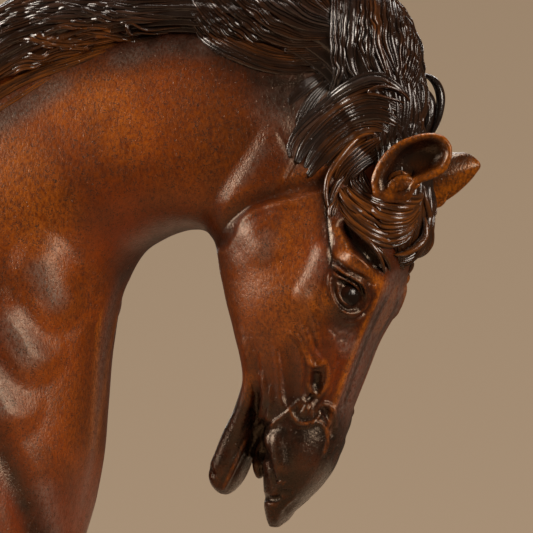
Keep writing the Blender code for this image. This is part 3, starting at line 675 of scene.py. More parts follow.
@dataclass(frozen=True)
class Stroke:
    """A soft stroke along a path of the drawing, which dies away across its width and at its ends."""

    amount: float
    half_width: float
    path: Points
    sharp: float = 1.0
    fade: float = 0.0

    def share(self, at: np.ndarray) -> tuple[np.ndarray, np.ndarray]:
        """The drawn points that the stroke reaches, and how strongly.

        Args:
            at: Drawn points.

        Returns:
            The indices of the points within reach, and the stroke's share at each, up to 1.
        """
        path = np.asarray(smooth_rows(self.path, STROKE_STEPS) if len(self.path) > 2 else self.path, float)
        low, high = path.min(axis=0) - self.half_width, path.max(axis=0) + self.half_width
        near = np.flatnonzero(np.all((at > low) & (at < high), axis=1))
        away, along = reach_of_path(at[near], path)
        share = (1 - np.clip(away / self.half_width, 0, 1) ** (2 * self.sharp)) ** 2
        if self.fade:
            length = float(np.hypot(*np.diff(path, axis=0).T).sum())
            ends = np.clip(np.minimum(along, length - along) / (self.fade * length), 0, 1)
            share = share * ends * (2 - ends)
        return near, share


def rolled_skin(
    name: str, rings: np.ndarray, crown: np.ndarray | None = None, start: float = 0.0, slow: float = 0.10
) -> bpy.types.Mesh:
    """A closed skin through rings of points: a grid, rolled up and sewn along its meeting edge.

    Args:
        name: The mesh's name.
        rings: The points, as rings by points by three.
        crown: How high up its strand each point lies, from 0 in a furrow to 1 on the ridge. With it, the
            skin also carries how the hair runs: across the strands, along them and where it starts.
        start: Where the pattern of the hair starts, so that no two locks are alike.
        slow: How much slower the pattern runs along the hair than across it.

    Returns:
        The mesh, with its open ends filled.
    """
    count, around = rings.shape[:2]
    shape = bmesh.new()
    bmesh.ops.create_grid(shape, x_segments=around, y_segments=count - 1, size=1.0)
    closed = np.concatenate([rings, rings[:, :1]], axis=1).reshape(-1, 3)
    for vert, place in zip(shape.verts, closed):
        vert.co = place
    if crown is not None:
        layer = shape.verts.layers.float.new(CROWN)
        run = shape.verts.layers.float_vector.new(FLOW)
        grid = closed.reshape(count, around + 1, 3)
        across = np.cumsum(np.linalg.norm(np.diff(grid, axis=1, prepend=grid[:, :1]), axis=2).mean(axis=0))
        along = np.cumsum(np.linalg.norm(np.diff(grid, axis=0, prepend=grid[:1]), axis=2).mean(axis=1))
        shares = np.concatenate([crown, crown[:, :1]], axis=1)
        for i, vert in enumerate(shape.verts):
            ring, step = divmod(i, around + 1)
            vert[layer] = shares[ring, step]
            vert[run] = (across[step], along[ring] * slow, start)
    bmesh.ops.remove_doubles(shape, verts=shape.verts, dist=WELD)
    bmesh.ops.holes_fill(shape, edges=shape.edges, sides=0)
    bmesh.ops.recalc_face_normals(shape, faces=shape.faces)
    return finished(name, shape)


def finished(name: str, shape: bmesh.types.BMesh) -> bpy.types.Mesh:
    """Writes a shape to a new mesh and frees it.

    Args:
        name: The mesh's name.
        shape: The shape, which isn't used again.

    Returns:
        The mesh.
    """
    mesh = bpy.data.meshes.new(name)
    shape.to_mesh(mesh)
    shape.free()
    return mesh


def joined(name: str, meshes: Iterable[bpy.types.Mesh]) -> bpy.types.Mesh:
    """Puts several shapes in one mesh.

    Args:
        name: The new mesh's name.
        meshes: The meshes to join.

    Returns:
        The new mesh.
    """
    shape = bmesh.new()
    for mesh in meshes:
        shape.from_mesh(mesh)
    return finished(name, shape)


def surface_of(meshes: Iterable[bpy.types.Mesh]) -> BVHTree:
    """Makes a search tree over several meshes.

    Args:
        meshes: The meshes.

    Returns:
        The tree.
    """
    points: list[Vector] = []
    faces: list[list[int]] = []
    for mesh in meshes:
        start = len(points)
        points += [v.co.copy() for v in mesh.vertices]
        faces += [[start + i for i in p.vertices] for p in mesh.polygons]
    return BVHTree.FromPolygons(points, faces)


def with_modifier(mesh: bpy.types.Mesh, kind: str, **settings: object) -> bpy.types.Mesh:
    """A mesh as one modifier leaves it.

    Args:
        mesh: The mesh to work on.
        kind: The modifier's type.
        **settings: The modifier's settings.

    Returns:
        A new mesh.
    """
    thing = bpy.data.objects.new("bench", mesh)
    bpy.context.scene.collection.objects.link(thing)
    modifier = thing.modifiers.new("work", kind)
    for key, value in settings.items():
        setattr(modifier, key, value)
    made = bpy.data.meshes.new_from_object(thing.evaluated_get(bpy.context.evaluated_depsgraph_get()))
    bpy.data.objects.remove(thing)
    return made


def point_vectors(mesh: bpy.types.Mesh, what: str) -> np.ndarray:
    """Reads one vector for each of the mesh's points.

    Args:
        mesh: The mesh.
        what: Which vector: "co" for the place or "normal" for the normal.

    Returns:
        The vectors, one a row.
    """
    flat = np.empty(len(mesh.vertices) * 3, np.float32)
    mesh.vertices.foreach_get(what, flat)
    return flat.reshape(-1, 3).astype(float)


def coordinates(mesh: bpy.types.Mesh) -> np.ndarray:
    """The mesh's points, one a row."""
    return point_vectors(mesh, "co")


def move_points(mesh: bpy.types.Mesh, places: np.ndarray) -> None:
    """Moves the mesh's points to new places."""
    mesh.vertices.foreach_set("co", places.astype(np.float32).ravel())
    mesh.update()


@dataclass
class Loft:
    """A rounded form through sections of the drawing."""

    name: str
    sections: Sequence[Sequence[float]]
    steps: int = 10
    around: int = 96
    shrink: float = 0.0
    flutes: int = 0
    flute_depth: float = 0.0
    flute_twist: float = 0.55
    flute_crown: float = 0.3
    least_left: float = 0.5
    most_shown: float = 0.35

    def rings(self) -> np.ndarray:
        """Lays the rings of points along the sections.

        Returns:
            The points, as rings by points by three.
        """
        angles = 2 * math.pi * np.arange(self.around) / self.around
        folded = np.abs((angles + math.pi) % (2 * math.pi) - math.pi)
        cos, sin = np.cos(angles), np.sin(angles)
        made = []
        for i, row in enumerate(smooth_rows(self.sections, self.steps)):
            crest_x, crest_y, throat_x, throat_y, half_width, lean, square = row
            middle = np.array([(crest_x + throat_x) / 2, (crest_y + throat_y) / 2])
            half = np.array([(crest_x - throat_x) / 2, (crest_y - throat_y) / 2])
            length = float(np.hypot(*half))
            half *= max(self.least_left, 1 - self.shrink / length)
            half_width *= max(self.least_left, 1 - self.shrink / half_width)
            length = float(np.hypot(*half))
            # A turned section looks deeper than it is, because its width shows too
            shown = min(self.most_shown, (half_width * math.sin(DRAWING.turn) / length) ** 2)
            depth_x = half[0] * math.sqrt(1 - shown * (half[0] / length) ** 2)
            ripple = 1 + self.flute_depth * np.cos(self.flutes * folded + self.flute_twist * i / self.steps)
            along = np.sign(cos) * np.abs(cos) ** (2 / square) * ripple
            out = np.sign(sin) * np.abs(sin) ** (2 / square) * (1 + lean * along) * ripple
            x = DRAWING.across(middle[0]) + depth_x * along / math.cos(DRAWING.turn) * DRAWING.unit
            y = half_width * out * DRAWING.unit
            z = DRAWING.height(0) - (middle[1] + half[1] * along) * DRAWING.unit
            made.append(np.stack([x, y, z], axis=1))
        return np.array(made)

    def mesh(self) -> bpy.types.Mesh:
        """Makes the form's mesh.

        Returns:
            The closed mesh.
        """
        rings = self.rings()
        crown = np.full(rings.shape[:2], self.flute_crown) if self.flutes else None
        return rolled_skin(self.name, rings, crown)


@dataclass
class Carver:
    """Presses and raises a skin along strokes of the drawing, on both sides alike."""

    edge_on: float = 2.0

    def cut(self, mesh: bpy.types.Mesh, strokes: Sequence[Stroke]) -> None:
        """Carves the mesh in place.

        Args:
            mesh: The skin.
            strokes: The strokes. Their amounts are heights, in the drawing's units.
        """
        points, normals = coordinates(mesh), point_vectors(mesh, "normal")
        at = DRAWING.seen(points)
        side_on = np.clip(np.abs(normals[:, 1]) * self.edge_on, 0, 1)
        rise = np.zeros(len(points))
        for stroke in strokes:
            near, share = stroke.share(at)
            rise[near] += stroke.amount * share
        move_points(mesh, points + normals * (rise * side_on * DRAWING.unit)[:, None])


@dataclass
class Patina:
    """Writes the masks that the bronze's colours follow onto a piece."""

    dark: float = 0.0
    hollow_gain: float = 3.0
    proud_gain: float = 3.0
    furrow_dark: float = 0.9
    ridge_bright: float = 0.30
    spread: float = 1.35
    even_out: int = 2

    def bends(self, mesh: bpy.types.Mesh) -> np.ndarray:
        """Measures how much the surface bends at each point.

        Args:
            mesh: The piece's mesh.

        Returns:
            The bends, above nought in a hollow and below it on a ridge.
        """
        points, normals = coordinates(mesh), point_vectors(mesh, "normal")
        flat = np.empty(len(mesh.edges) * 2, np.int32)
        mesh.edges.foreach_get("vertices", flat)
        a, b = flat.reshape(-1, 2).T
        span = points[b] - points[a]
        length = np.maximum(np.linalg.norm(span, axis=1), 1e-9)
        count = len(points)
        share = np.maximum(np.bincount(a, minlength=count) + np.bincount(b, minlength=count), 1)
        bend = np.bincount(a, (span * normals[a]).sum(1) / length, count)
        bend += np.bincount(b, -(span * normals[b]).sum(1) / length, count)
        bend /= share
        for _ in range(self.even_out):
            spread = np.bincount(a, bend[b], count) + np.bincount(b, bend[a], count)
            bend = 0.5 * bend + 0.5 * spread / share
        return bend

    def lay(self, mesh: bpy.types.Mesh, dark: Sequence = (), grey_bloom_and_sheen: Sequence = (), rubbed: Sequence = ()) -> None:
        """Writes all the masks.

        Args:
            mesh: The piece's mesh.
            dark: Strokes that darken, as amount, half width, path and, where it isn't 1, how crisp.
            grey_bloom_and_sheen: Strokes of grey bloom, and of painted sheen, highlights and reflections.
            rubbed: Strokes that are rubbed bright.
        """
        at = DRAWING.seen(coordinates(mesh))
        bend = self.bends(mesh)
        hollow = np.clip(bend * self.hollow_gain, 0, 1)
        proud = np.clip(-bend * self.proud_gain, 0, 1)
        if CROWN in mesh.attributes:
            crown = np.empty(len(at), np.float32)
            mesh.attributes[CROWN].data.foreach_get("value", crown)
            hollow = np.maximum(hollow, (1 - np.clip(crown, 0, 1)) * self.furrow_dark)
            proud = np.clip(crown, 0, 1) ** 3 * self.ridge_bright
        masks = {
            Paint.DARK: self.painted(at, dark, self.dark),
            Paint.GREY_BLOOM_AND_SHEEN: self.painted(at, grey_bloom_and_sheen),
            Paint.RUBBED: self.painted(at, rubbed),
            Paint.HOLLOW: hollow,
            Paint.PROUD: proud,
        }
        for paint, values in masks.items():
            layer = mesh.attributes.new(paint.value, "FLOAT", "POINT")
            layer.data.foreach_set("value", values.astype(np.float32))

    def painted(self, at: np.ndarray, strokes: Sequence, base: float = 0.0) -> np.ndarray:
        """Paints one mask with soft strokes.

        Args:
            at: Where the drawing shows the piece's points.
            strokes: The strokes, as amount, half width, path and how crisp.
            base: How much of the paint lies everywhere.

        Returns:
            The mask, from 0 to 1 at each point.
        """
        clear = np.full(len(at), 1.0 - base)
        for amount, wide, path, *sharp in strokes:
            near, share = Stroke(amount, wide * self.spread, path, *sharp).share(at)
            clear[near] *= 1 - amount * share
        return 1 - clear


class Pattern(Enum):
    """The patina's noise patterns: how many features to the metre, and how many finer layers."""

    CLOUDS = (55.0, 5.0)
    SMOKE = (190.0, 4.0)
    BLOTS = (520.0, 4.0)
    GRAIN = (2500.0, 2.0)
    PITS = (1000.0, 1.0)
    BRUSHING = (1250.0, 3.0)
    SCRATCHES = (2600.0, 2.0)


@dataclass
class NodeBench:
    """Places and joins shader nodes in one tree."""

    tree: bpy.types.NodeTree

    def add(self, kind: str, **settings: object) -> bpy.types.Node:
        """Places a new node.

        Args:
            kind: The node's type.
            **settings: The node's settings.

        Returns:
            The node.
        """
        node = self.tree.nodes.new(kind)
        for key, value in settings.items():
            setattr(node, key, value)
        return node

    def feed(self, socket: Socket, source: Socket | float | Sequence[float]) -> None:
        """Links a source to a socket, or sets the socket's own value.

        Args:
            socket: The socket that is fed.
            source: Another node's output, a number or a colour.
        """
        if isinstance(source, bpy.types.NodeSocket):
            self.tree.links.new(source, socket)
        else:
            socket.default_value = source

    def math(self, operation: str, a: Socket | float, b: Socket | float = 0.0, clamp: bool = False) -> Socket:
        """Works out one sum on two values.

        Args:
            operation: The kind of sum.
            a: The first value.
            b: The second value.
            clamp: Whether the result is kept between 0 and 1.

        Returns:
            The result.
        """
        node = self.add("ShaderNodeMath", operation=operation, use_clamp=clamp)
        self.feed(node.inputs[0], a)
        self.feed(node.inputs[1], b)
        return node.outputs[0]

    def times(self, a: Socket | float, b: Socket | float, clamp: bool = False) -> Socket:
        """One value times another."""
        return self.math("MULTIPLY", a, b, clamp)

    def total(self, *parts: tuple[Socket, float], clamp: bool = False) -> Socket:
        """Adds values up, each times its weight.

        Args:
            *parts: The values and their weights.
            clamp: Whether the sum is kept between 0 and 1.

        Returns:
            The sum.
        """
        added = self.times(*parts[0])
        for part in parts[1:]:
            added = self.math("ADD", added, self.times(*part), clamp and part is parts[-1])
        return added

    def blend(self, share: Socket | float, a: Socket | Sequence[float], b: Socket | Sequence[float]) -> Socket:
        """Mixes two colours.

        Args:
            share: How much of the second colour there is.
            a: The first colour.
            b: The second colour.

        Returns:
            The colour between them.
        """
        node = self.add("ShaderNodeMix", data_type="RGBA")
        self.feed(node.inputs["Factor"], share)
        self.feed(node.inputs[6], a)
        self.feed(node.inputs[7], b)
        return node.outputs[2]

    def noise(self, place: Socket, pattern: Pattern) -> Socket:
        """Reads a noise pattern.

        Args:
            place: The coordinates.
            pattern: Which pattern.

        Returns:
            The noise's value, from 0 to 1.
        """
        node = self.add("ShaderNodeTexNoise")
        node.inputs["Scale"].default_value, node.inputs["Detail"].default_value = pattern.value
        self.feed(node.inputs["Vector"], place)
        return node.outputs["Fac"]

    def ramp(self, value: Socket, low: float, high: float) -> Socket:
        """Spreads a value so that low becomes 0 and high becomes 1.

        Args:
            value: The value.
            low: What becomes 0.
            high: What becomes 1.

        Returns:
            The spread value.
        """
        node = self.add("ShaderNodeMapRange")
        node.inputs["From Min"].default_value = low
        node.inputs["From Max"].default_value = high
        self.feed(node.inputs["Value"], value)
        return node.outputs["Result"]


class PatinaGroup:
    """The shader node group for brown bronze: colour, roughness and height from the masks."""

    NAME = "bronze_patina_and_sheen"
    VECTORS = ("Place", "Run")
    COLOURS = ("Deep", "Warm", "Bright", "Black", "Bloom_and_sheen")
    VALUES = ("Dark", "Grey_bloom_and_sheen", "Rubbed", "Hollow", "Proud", "Speckle", "Roughness")
    # Between which values a pattern goes from nothing to full
    CLOUDS_SPAN, SMOKE_SPAN = (0.34, 0.66), (0.30, 0.70)
    WARM_SPAN, RUBBED_SPAN, PROUD_SPAN, BLOOM_SPAN = (0.35, 0.65), (0.30, 0.62), (0.30, 0.55), (0.25, 0.65)
    FLECKS_SPAN, BLOTS_SPAN, PITS_SPAN = (0.50, 0.64), (0.30, 0.60), (0.68, 0.80)
    # How much each pattern adds to the warmth, to the shine of rubbed places and to the relief
    CLOUDS_WARM, SMOKE_WARM, BRUSHING_WARM = 0.50, 0.30, 0.25
    SMOKE_RUBBED, RUBBED_MOST = 0.45, 0.72
    BRUSHING_HIGH, SCRATCHES_HIGH, GRAIN_HIGH, BLOTS_HIGH, PITS_DEEP = 0.60, 0.25, 0.30, 0.45, 0.35
    # How ragged the dark's edges are, and from how much paint on they are fully so
    RAGGED, RAGGED_FROM = 0.35, 0.25
    # How much of the dark wears off where metal is proud or rubbed, and how dark the hollows get
    PROUD_WORN, RUBBED_WORN, HOLLOW_MOST = 0.75, 0.8, 0.95
    # How much rougher blots and flecks are, and how much glossier the dark is
    BLOTS_ROUGH, FLECKS_ROUGH, DARK_GLOSS = 0.25, 0.10, 0.13
    MIDDLE = 0.5

    def __init__(self) -> None:
        """Builds the group once."""
        self.tree = bpy.data.node_groups.new(self.NAME, "ShaderNodeTree")
        face = self.tree.interface
        for name in self.VECTORS:
            face.new_socket(name, in_out="INPUT", socket_type="NodeSocketVector")
        for name in self.COLOURS:
            face.new_socket(name, in_out="INPUT", socket_type="NodeSocketColor")
        for name in self.VALUES:
            face.new_socket(name, in_out="INPUT", socket_type="NodeSocketFloat")
        face.new_socket("Colour", in_out="OUTPUT", socket_type="NodeSocketColor")
        face.new_socket("Roughness", in_out="OUTPUT", socket_type="NodeSocketFloat")
        face.new_socket("Height", in_out="OUTPUT", socket_type="NodeSocketFloat")
        self.wire(NodeBench(self.tree))

    def wire(self, bench: NodeBench) -> None:
        """Joins the nodes of the group.

        Args:
            bench: The bench that holds the group's tree.
        """
        given = bench.add("NodeGroupInput").outputs
        place, run = given["Place"], given["Run"]
        clouds = bench.ramp(bench.noise(place, Pattern.CLOUDS), *self.CLOUDS_SPAN)
        smoke = bench.ramp(bench.noise(place, Pattern.SMOKE), *self.SMOKE_SPAN)
        blots = bench.noise(place, Pattern.BLOTS)
        grain = bench.noise(place, Pattern.GRAIN)
        brushing = bench.noise(run, Pattern.BRUSHING)
        warm = bench.total(
            (clouds, self.CLOUDS_WARM),
            (smoke, self.SMOKE_WARM),
            (bench.ramp(brushing, *self.WARM_SPAN), self.BRUSHING_WARM),
            clamp=True,
        )
        colour = bench.blend(warm, given["Deep"], given["Warm"])
        streaks = bench.ramp(brushing, *self.RUBBED_SPAN)
        uneven = bench.math("ADD", bench.times(smoke, self.SMOKE_RUBBED), streaks)
        rubbed = bench.times(given["Rubbed"], bench.times(uneven, self.RUBBED_MOST), clamp=True)
        colour = bench.blend(rubbed, colour, given["Bright"])
        proud = bench.times(given["Proud"], bench.ramp(brushing, *self.PROUD_SPAN), clamp=True)
        colour = bench.blend(proud, colour, given["Bright"])
        # Grey bloom and painted sheen, broken up by the brush strokes
        bloom_and_sheen = bench.times(given["Grey_bloom_and_sheen"], bench.ramp(brushing, *self.BLOOM_SPAN), clamp=True)
        colour = bench.blend(bloom_and_sheen, colour, given["Bloom_and_sheen"])
        dark = self.darkened(bench, given["Dark"], smoke, proud, rubbed)
        colour = bench.blend(dark, colour, given["Black"])
        colour = bench.blend(bench.times(given["Hollow"], self.HOLLOW_MOST, clamp=True), colour, given["Black"])
        flecks = bench.times(bench.ramp(grain, *self.FLECKS_SPAN), bench.ramp(blots, *self.BLOTS_SPAN))
        flecks = bench.times(flecks, given["Speckle"], clamp=True)
        colour = bench.blend(flecks, colour, given["Black"])
        rough = bench.times(bench.math("SUBTRACT", blots, self.MIDDLE), self.BLOTS_ROUGH)
        rough = bench.math("ADD", rough, given["Roughness"])
        rough = bench.math("ADD", rough, bench.times(flecks, self.FLECKS_ROUGH))
        rough = bench.math("SUBTRACT", rough, bench.times(dark, self.DARK_GLOSS), clamp=True)
        height = bench.total(
            (brushing, self.BRUSHING_HIGH),
            (bench.noise(run, Pattern.SCRATCHES), self.SCRATCHES_HIGH),
            (grain, self.GRAIN_HIGH),
            (blots, self.BLOTS_HIGH),
        )
        pits = bench.ramp(bench.noise(place, Pattern.PITS), *self.PITS_SPAN)
        height = bench.math("SUBTRACT", height, bench.times(pits, self.PITS_DEEP))
        result = bench.add("NodeGroupOutput").inputs
        bench.feed(result["Colour"], colour)
        bench.feed(result["Roughness"], rough)
        bench.feed(result["Height"], height)

    def darkened(self, bench: NodeBench, paint: Socket, smoke: Socket, proud: Socket, rubbed: Socket) -> Socket:
        """Gives the dark paint ragged edges, and wears it off where metal shows.

        Args:
            bench: The bench that holds the group's tree.
            paint: The dark mask.
            smoke: The pattern that makes its edges ragged.
            proud: How much the ridges shine.
            rubbed: How much the rubbed places shine.

        Returns:
            How dark each place is.
        """
        ragged = bench.times(bench.math("SUBTRACT", smoke, self.MIDDLE), self.RAGGED)
        soiled = bench.times(bench.ramp(paint, 0.0, self.RAGGED_FROM), ragged)
        dark = bench.math("ADD", paint, soiled, clamp=True)
        worn = bench.math("MAXIMUM", bench.times(proud, self.PROUD_WORN), bench.times(rubbed, self.RUBBED_WORN))
        return bench.times(dark, bench.math("SUBTRACT", 1.0, worn))


@dataclass(frozen=True)
class BronzeFinish:
    """One bronze finish: the patina's colours, with the colour of its grey bloom and painted sheen, and how glossy
    its wax is.
    """

    name: str
    deep: Triple = (0.075, 0.0110, 0.0010)
    warm: Triple = (0.232, 0.029, 0.0004)
    bright: Triple = (0.500, 0.120, 0.004)
    black: Triple = (0.012, 0.006, 0.004)
    bloom_and_sheen: Triple = (0.200, 0.132, 0.100)
    speckle: float = 0.90
    roughness: float = 0.39
    specular: float = 0.74
    tint: Triple = (1.0, 0.71, 0.48)
    bump: float = 0.8
    bump_distance: float = 0.0003
    turn: float = math.radians(-36.0)
    stretch: float = 0.55
    combed: bool = False

    def material(self, patina: PatinaGroup) -> bpy.types.Material:
        """Builds the material.

        Args:
            patina: The shared node group.

        Returns:
            The material.
        """
        made = bpy.data.materials.new(self.name)
        made.use_nodes = True
        tree = made.node_tree
        bench = NodeBench(tree)
        group = bench.add("ShaderNodeGroup", node_tree=patina.tree)
        place = bench.add("ShaderNodeTexCoord").outputs["Object"]
        bench.feed(group.inputs["Place"], place)
        bench.feed(group.inputs["Run"], self.run(bench, place))
        for name in PatinaGroup.COLOURS:
            group.inputs[name].default_value = (*getattr(self, name.lower()), 1.0)
        for paint in Paint:
            mask = bench.add("ShaderNodeAttribute", attribute_name=paint.value)
            bench.feed(group.inputs[paint.value.capitalize()], mask.outputs["Fac"])
        group.inputs["Speckle"].default_value = self.speckle
        group.inputs["Roughness"].default_value = self.roughness
        shader = tree.nodes["Principled BSDF"]
        shader.inputs["Specular IOR Level"].default_value = self.specular
        shader.inputs["Specular Tint"].default_value = (*self.tint, 1.0)
        bump = bench.add("ShaderNodeBump")
        bump.inputs["Strength"].default_value = self.bump
        bump.inputs["Distance"].default_value = self.bump_distance
        bench.feed(bump.inputs["Height"], group.outputs["Height"])
        bench.feed(shader.inputs["Base Color"], group.outputs["Colour"])
        bench.feed(shader.inputs["Roughness"], group.outputs["Roughness"])
        bench.feed(shader.inputs["Normal"], bump.outputs["Normal"])
        return made

    def run(self, bench: NodeBench, place: Socket) -> Socket:
        """The coordinates that the brush strokes follow: the hair's own, or the object's, turned.

        Args:
            bench: The bench that holds the material's tree.
            place: The object's coordinates.

        Returns:
            The coordinates.
        """
        if self.combed:
            return bench.add("ShaderNodeAttribute", attribute_name=FLOW).outputs["Vector"]
        mapping = bench.add("ShaderNodeMapping")
        mapping.inputs["Rotation"].default_value = (0.0, self.turn, 0.0)
        mapping.inputs["Scale"].default_value = (1.0, 1.0, self.stretch)
        bench.feed(mapping.inputs["Vector"], place)
        return mapping.outputs["Vector"]


SKIN_BRONZE = BronzeFinish("skin_bronze")
HAIR_BRONZE = BronzeFinish(
    "hair_bronze",
    deep=(0.028, 0.0085, 0.003),
    warm=(0.110, 0.030, 0.005),
    bright=(0.400, 0.105, 0.008),
    black=(0.0075, 0.0048, 0.004),
    bloom_and_sheen=(0.115, 0.088, 0.076),
    speckle=0.2,
    roughness=0.27,
    specular=0.78,
    tint=(1.0, 0.91, 0.82),
    bump=0.6,
    combed=True,
)
EAR_BRONZE = BronzeFinish(
    "ear_bronze",
    deep=(0.060, 0.012, 0.002),
    warm=(0.170, 0.036, 0.002),
    roughness=0.30,
    turn=math.radians(-50.0),
)
EYE_BRONZE = BronzeFinish("eye_bronze", speckle=0.1, roughness=0.30, specular=0.45, tint=(1.0, 0.90, 0.80), bump=0.5)


def set_up(name: str, mesh: bpy.types.Mesh, material: bpy.types.Material) -> bpy.types.Object:
    """Makes a finished piece of a mesh, inside the solid's box, and hands it to the frame.

    Args:
        name: The piece's name.
        mesh: Its mesh, with its place in it.
        material: Its finish.

    Returns:
        The piece's object.
    """
    mesh.name = name
    mesh.materials.clear()
    mesh.materials.append(material)
    move_points(mesh, np.clip(coordinates(mesh), *BOX))
    mesh.shade_smooth()
    piece = bpy.data.objects.new(name, mesh)
    bpy.context.scene.collection.objects.link(piece)
    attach(piece, BODY)
    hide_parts(NODE)
    mesh.calc_loop_triangles()
    LOG.info("%s: %d triangles", name, len(mesh.loop_triangles))
    return piece


@dataclass
class Skin:
    """The neck, the head, the lowered jaw and the tongue, run together into one skin."""

    grain: float = 0.0006
    quick_grain: float = 0.0011
    triangles: int = 196000
    head_left: float = 224.0
    head_top: float = 190.0
    cut_snap: float = 0.0004
    fine_fade: float = 0.3
    forms: list[bpy.types.Mesh] = field(default_factory=list)

    def __post_init__(self) -> None:
        """Makes the forms that the skin runs over."""
        self.forms = [
            Loft("body", BODY_SECTIONS).mesh(),
            Loft("jaw", JAW_SECTIONS).mesh(),
            Loft("tongue", TONGUE_SECTIONS).mesh(),
        ]

    def mesh(self) -> bpy.types.Mesh:
        """Runs the forms together and carves them.

        Returns:
            The carved skin, cut level at the foot.
        """
        grain = self.grain
        skin = with_modifier(joined("clay", self.forms), "REMESH", mode="VOXEL", voxel_size=grain)
        skin = with_modifier(skin, "SMOOTH", factor=0.5, iterations=4)
        carver = Carver()
        carver.cut(skin, [Stroke(*stroke) for stroke in BROAD_STROKES])
        skin = self.refined(skin)
        carver.cut(skin, [Stroke(*stroke, fade=self.fine_fade) for stroke in FINE_STROKES])
        skin = with_modifier(skin, "SMOOTH", factor=0.3, iterations=1)
        skin.calc_loop_triangles()
        ratio = min(1.0, self.triangles / len(skin.loop_triangles))
        skin = with_modifier(skin, "DECIMATE", ratio=ratio, use_collapse_triangulate=True)
        return self.levelled(skin)

    def refined(self, mesh: bpy.types.Mesh) -> bpy.types.Mesh:
        """Divides the faces of the head once more.

        Args:
            mesh: The skin.

        Returns:
            The skin with the finer head.
        """
        shape = bmesh.new()
        shape.from_mesh(mesh)
        at = DRAWING.seen(coordinates(mesh))
        head = (at[:, 0] > self.head_left) & (at[:, 1] > self.head_top)
        edges = [e for e in shape.edges if head[e.verts[0].index] and head[e.verts[1].index]]
        bmesh.ops.subdivide_edges(shape, edges=edges, cuts=1, use_grid_fill=True, smooth=0.0)
        return finished("refined", shape)

    def levelled(self, mesh: bpy.types.Mesh) -> bpy.types.Mesh:
        """Cuts the skin level at the underside, and closes it there.

        Args:
            mesh: The skin.

        Returns:
            The level skin, with a crisp edge round its foot.
        """
        shape = bmesh.new()
        shape.from_mesh(mesh)
        for vert in shape.verts:
            if abs(vert.co.z) < self.cut_snap:
                vert.co.z = 0.0
        everything = shape.verts[:] + shape.edges[:] + shape.faces[:]
        cut = bmesh.ops.bisect_plane(
            shape, geom=everything, dist=1e-6, plane_co=(0, 0, 0), plane_no=(0, 0, 1), clear_inner=True
        )
        edge = [e for e in cut["geom_cut"] if isinstance(e, bmesh.types.BMEdge)]
        bmesh.ops.contextual_create(shape, geom=edge)
        bmesh.ops.triangulate(shape, faces=shape.faces)
        bmesh.ops.recalc_face_normals(shape, faces=shape.faces)
        for rim in edge:
            rim.smooth = False
        return finished("levelled", shape)

    def build(self, material: bpy.types.Material) -> None:
        """Builds the piece and dresses it.

        Args:
            material: The skin's finish.
        """
        mesh = self.mesh()
        Patina(hollow_gain=4.0).lay(mesh, SKIN_DARK, SKIN_GREY_BLOOM_AND_SHEEN, SKIN_RUBBED)
        set_up("neck_and_head", mesh, material)


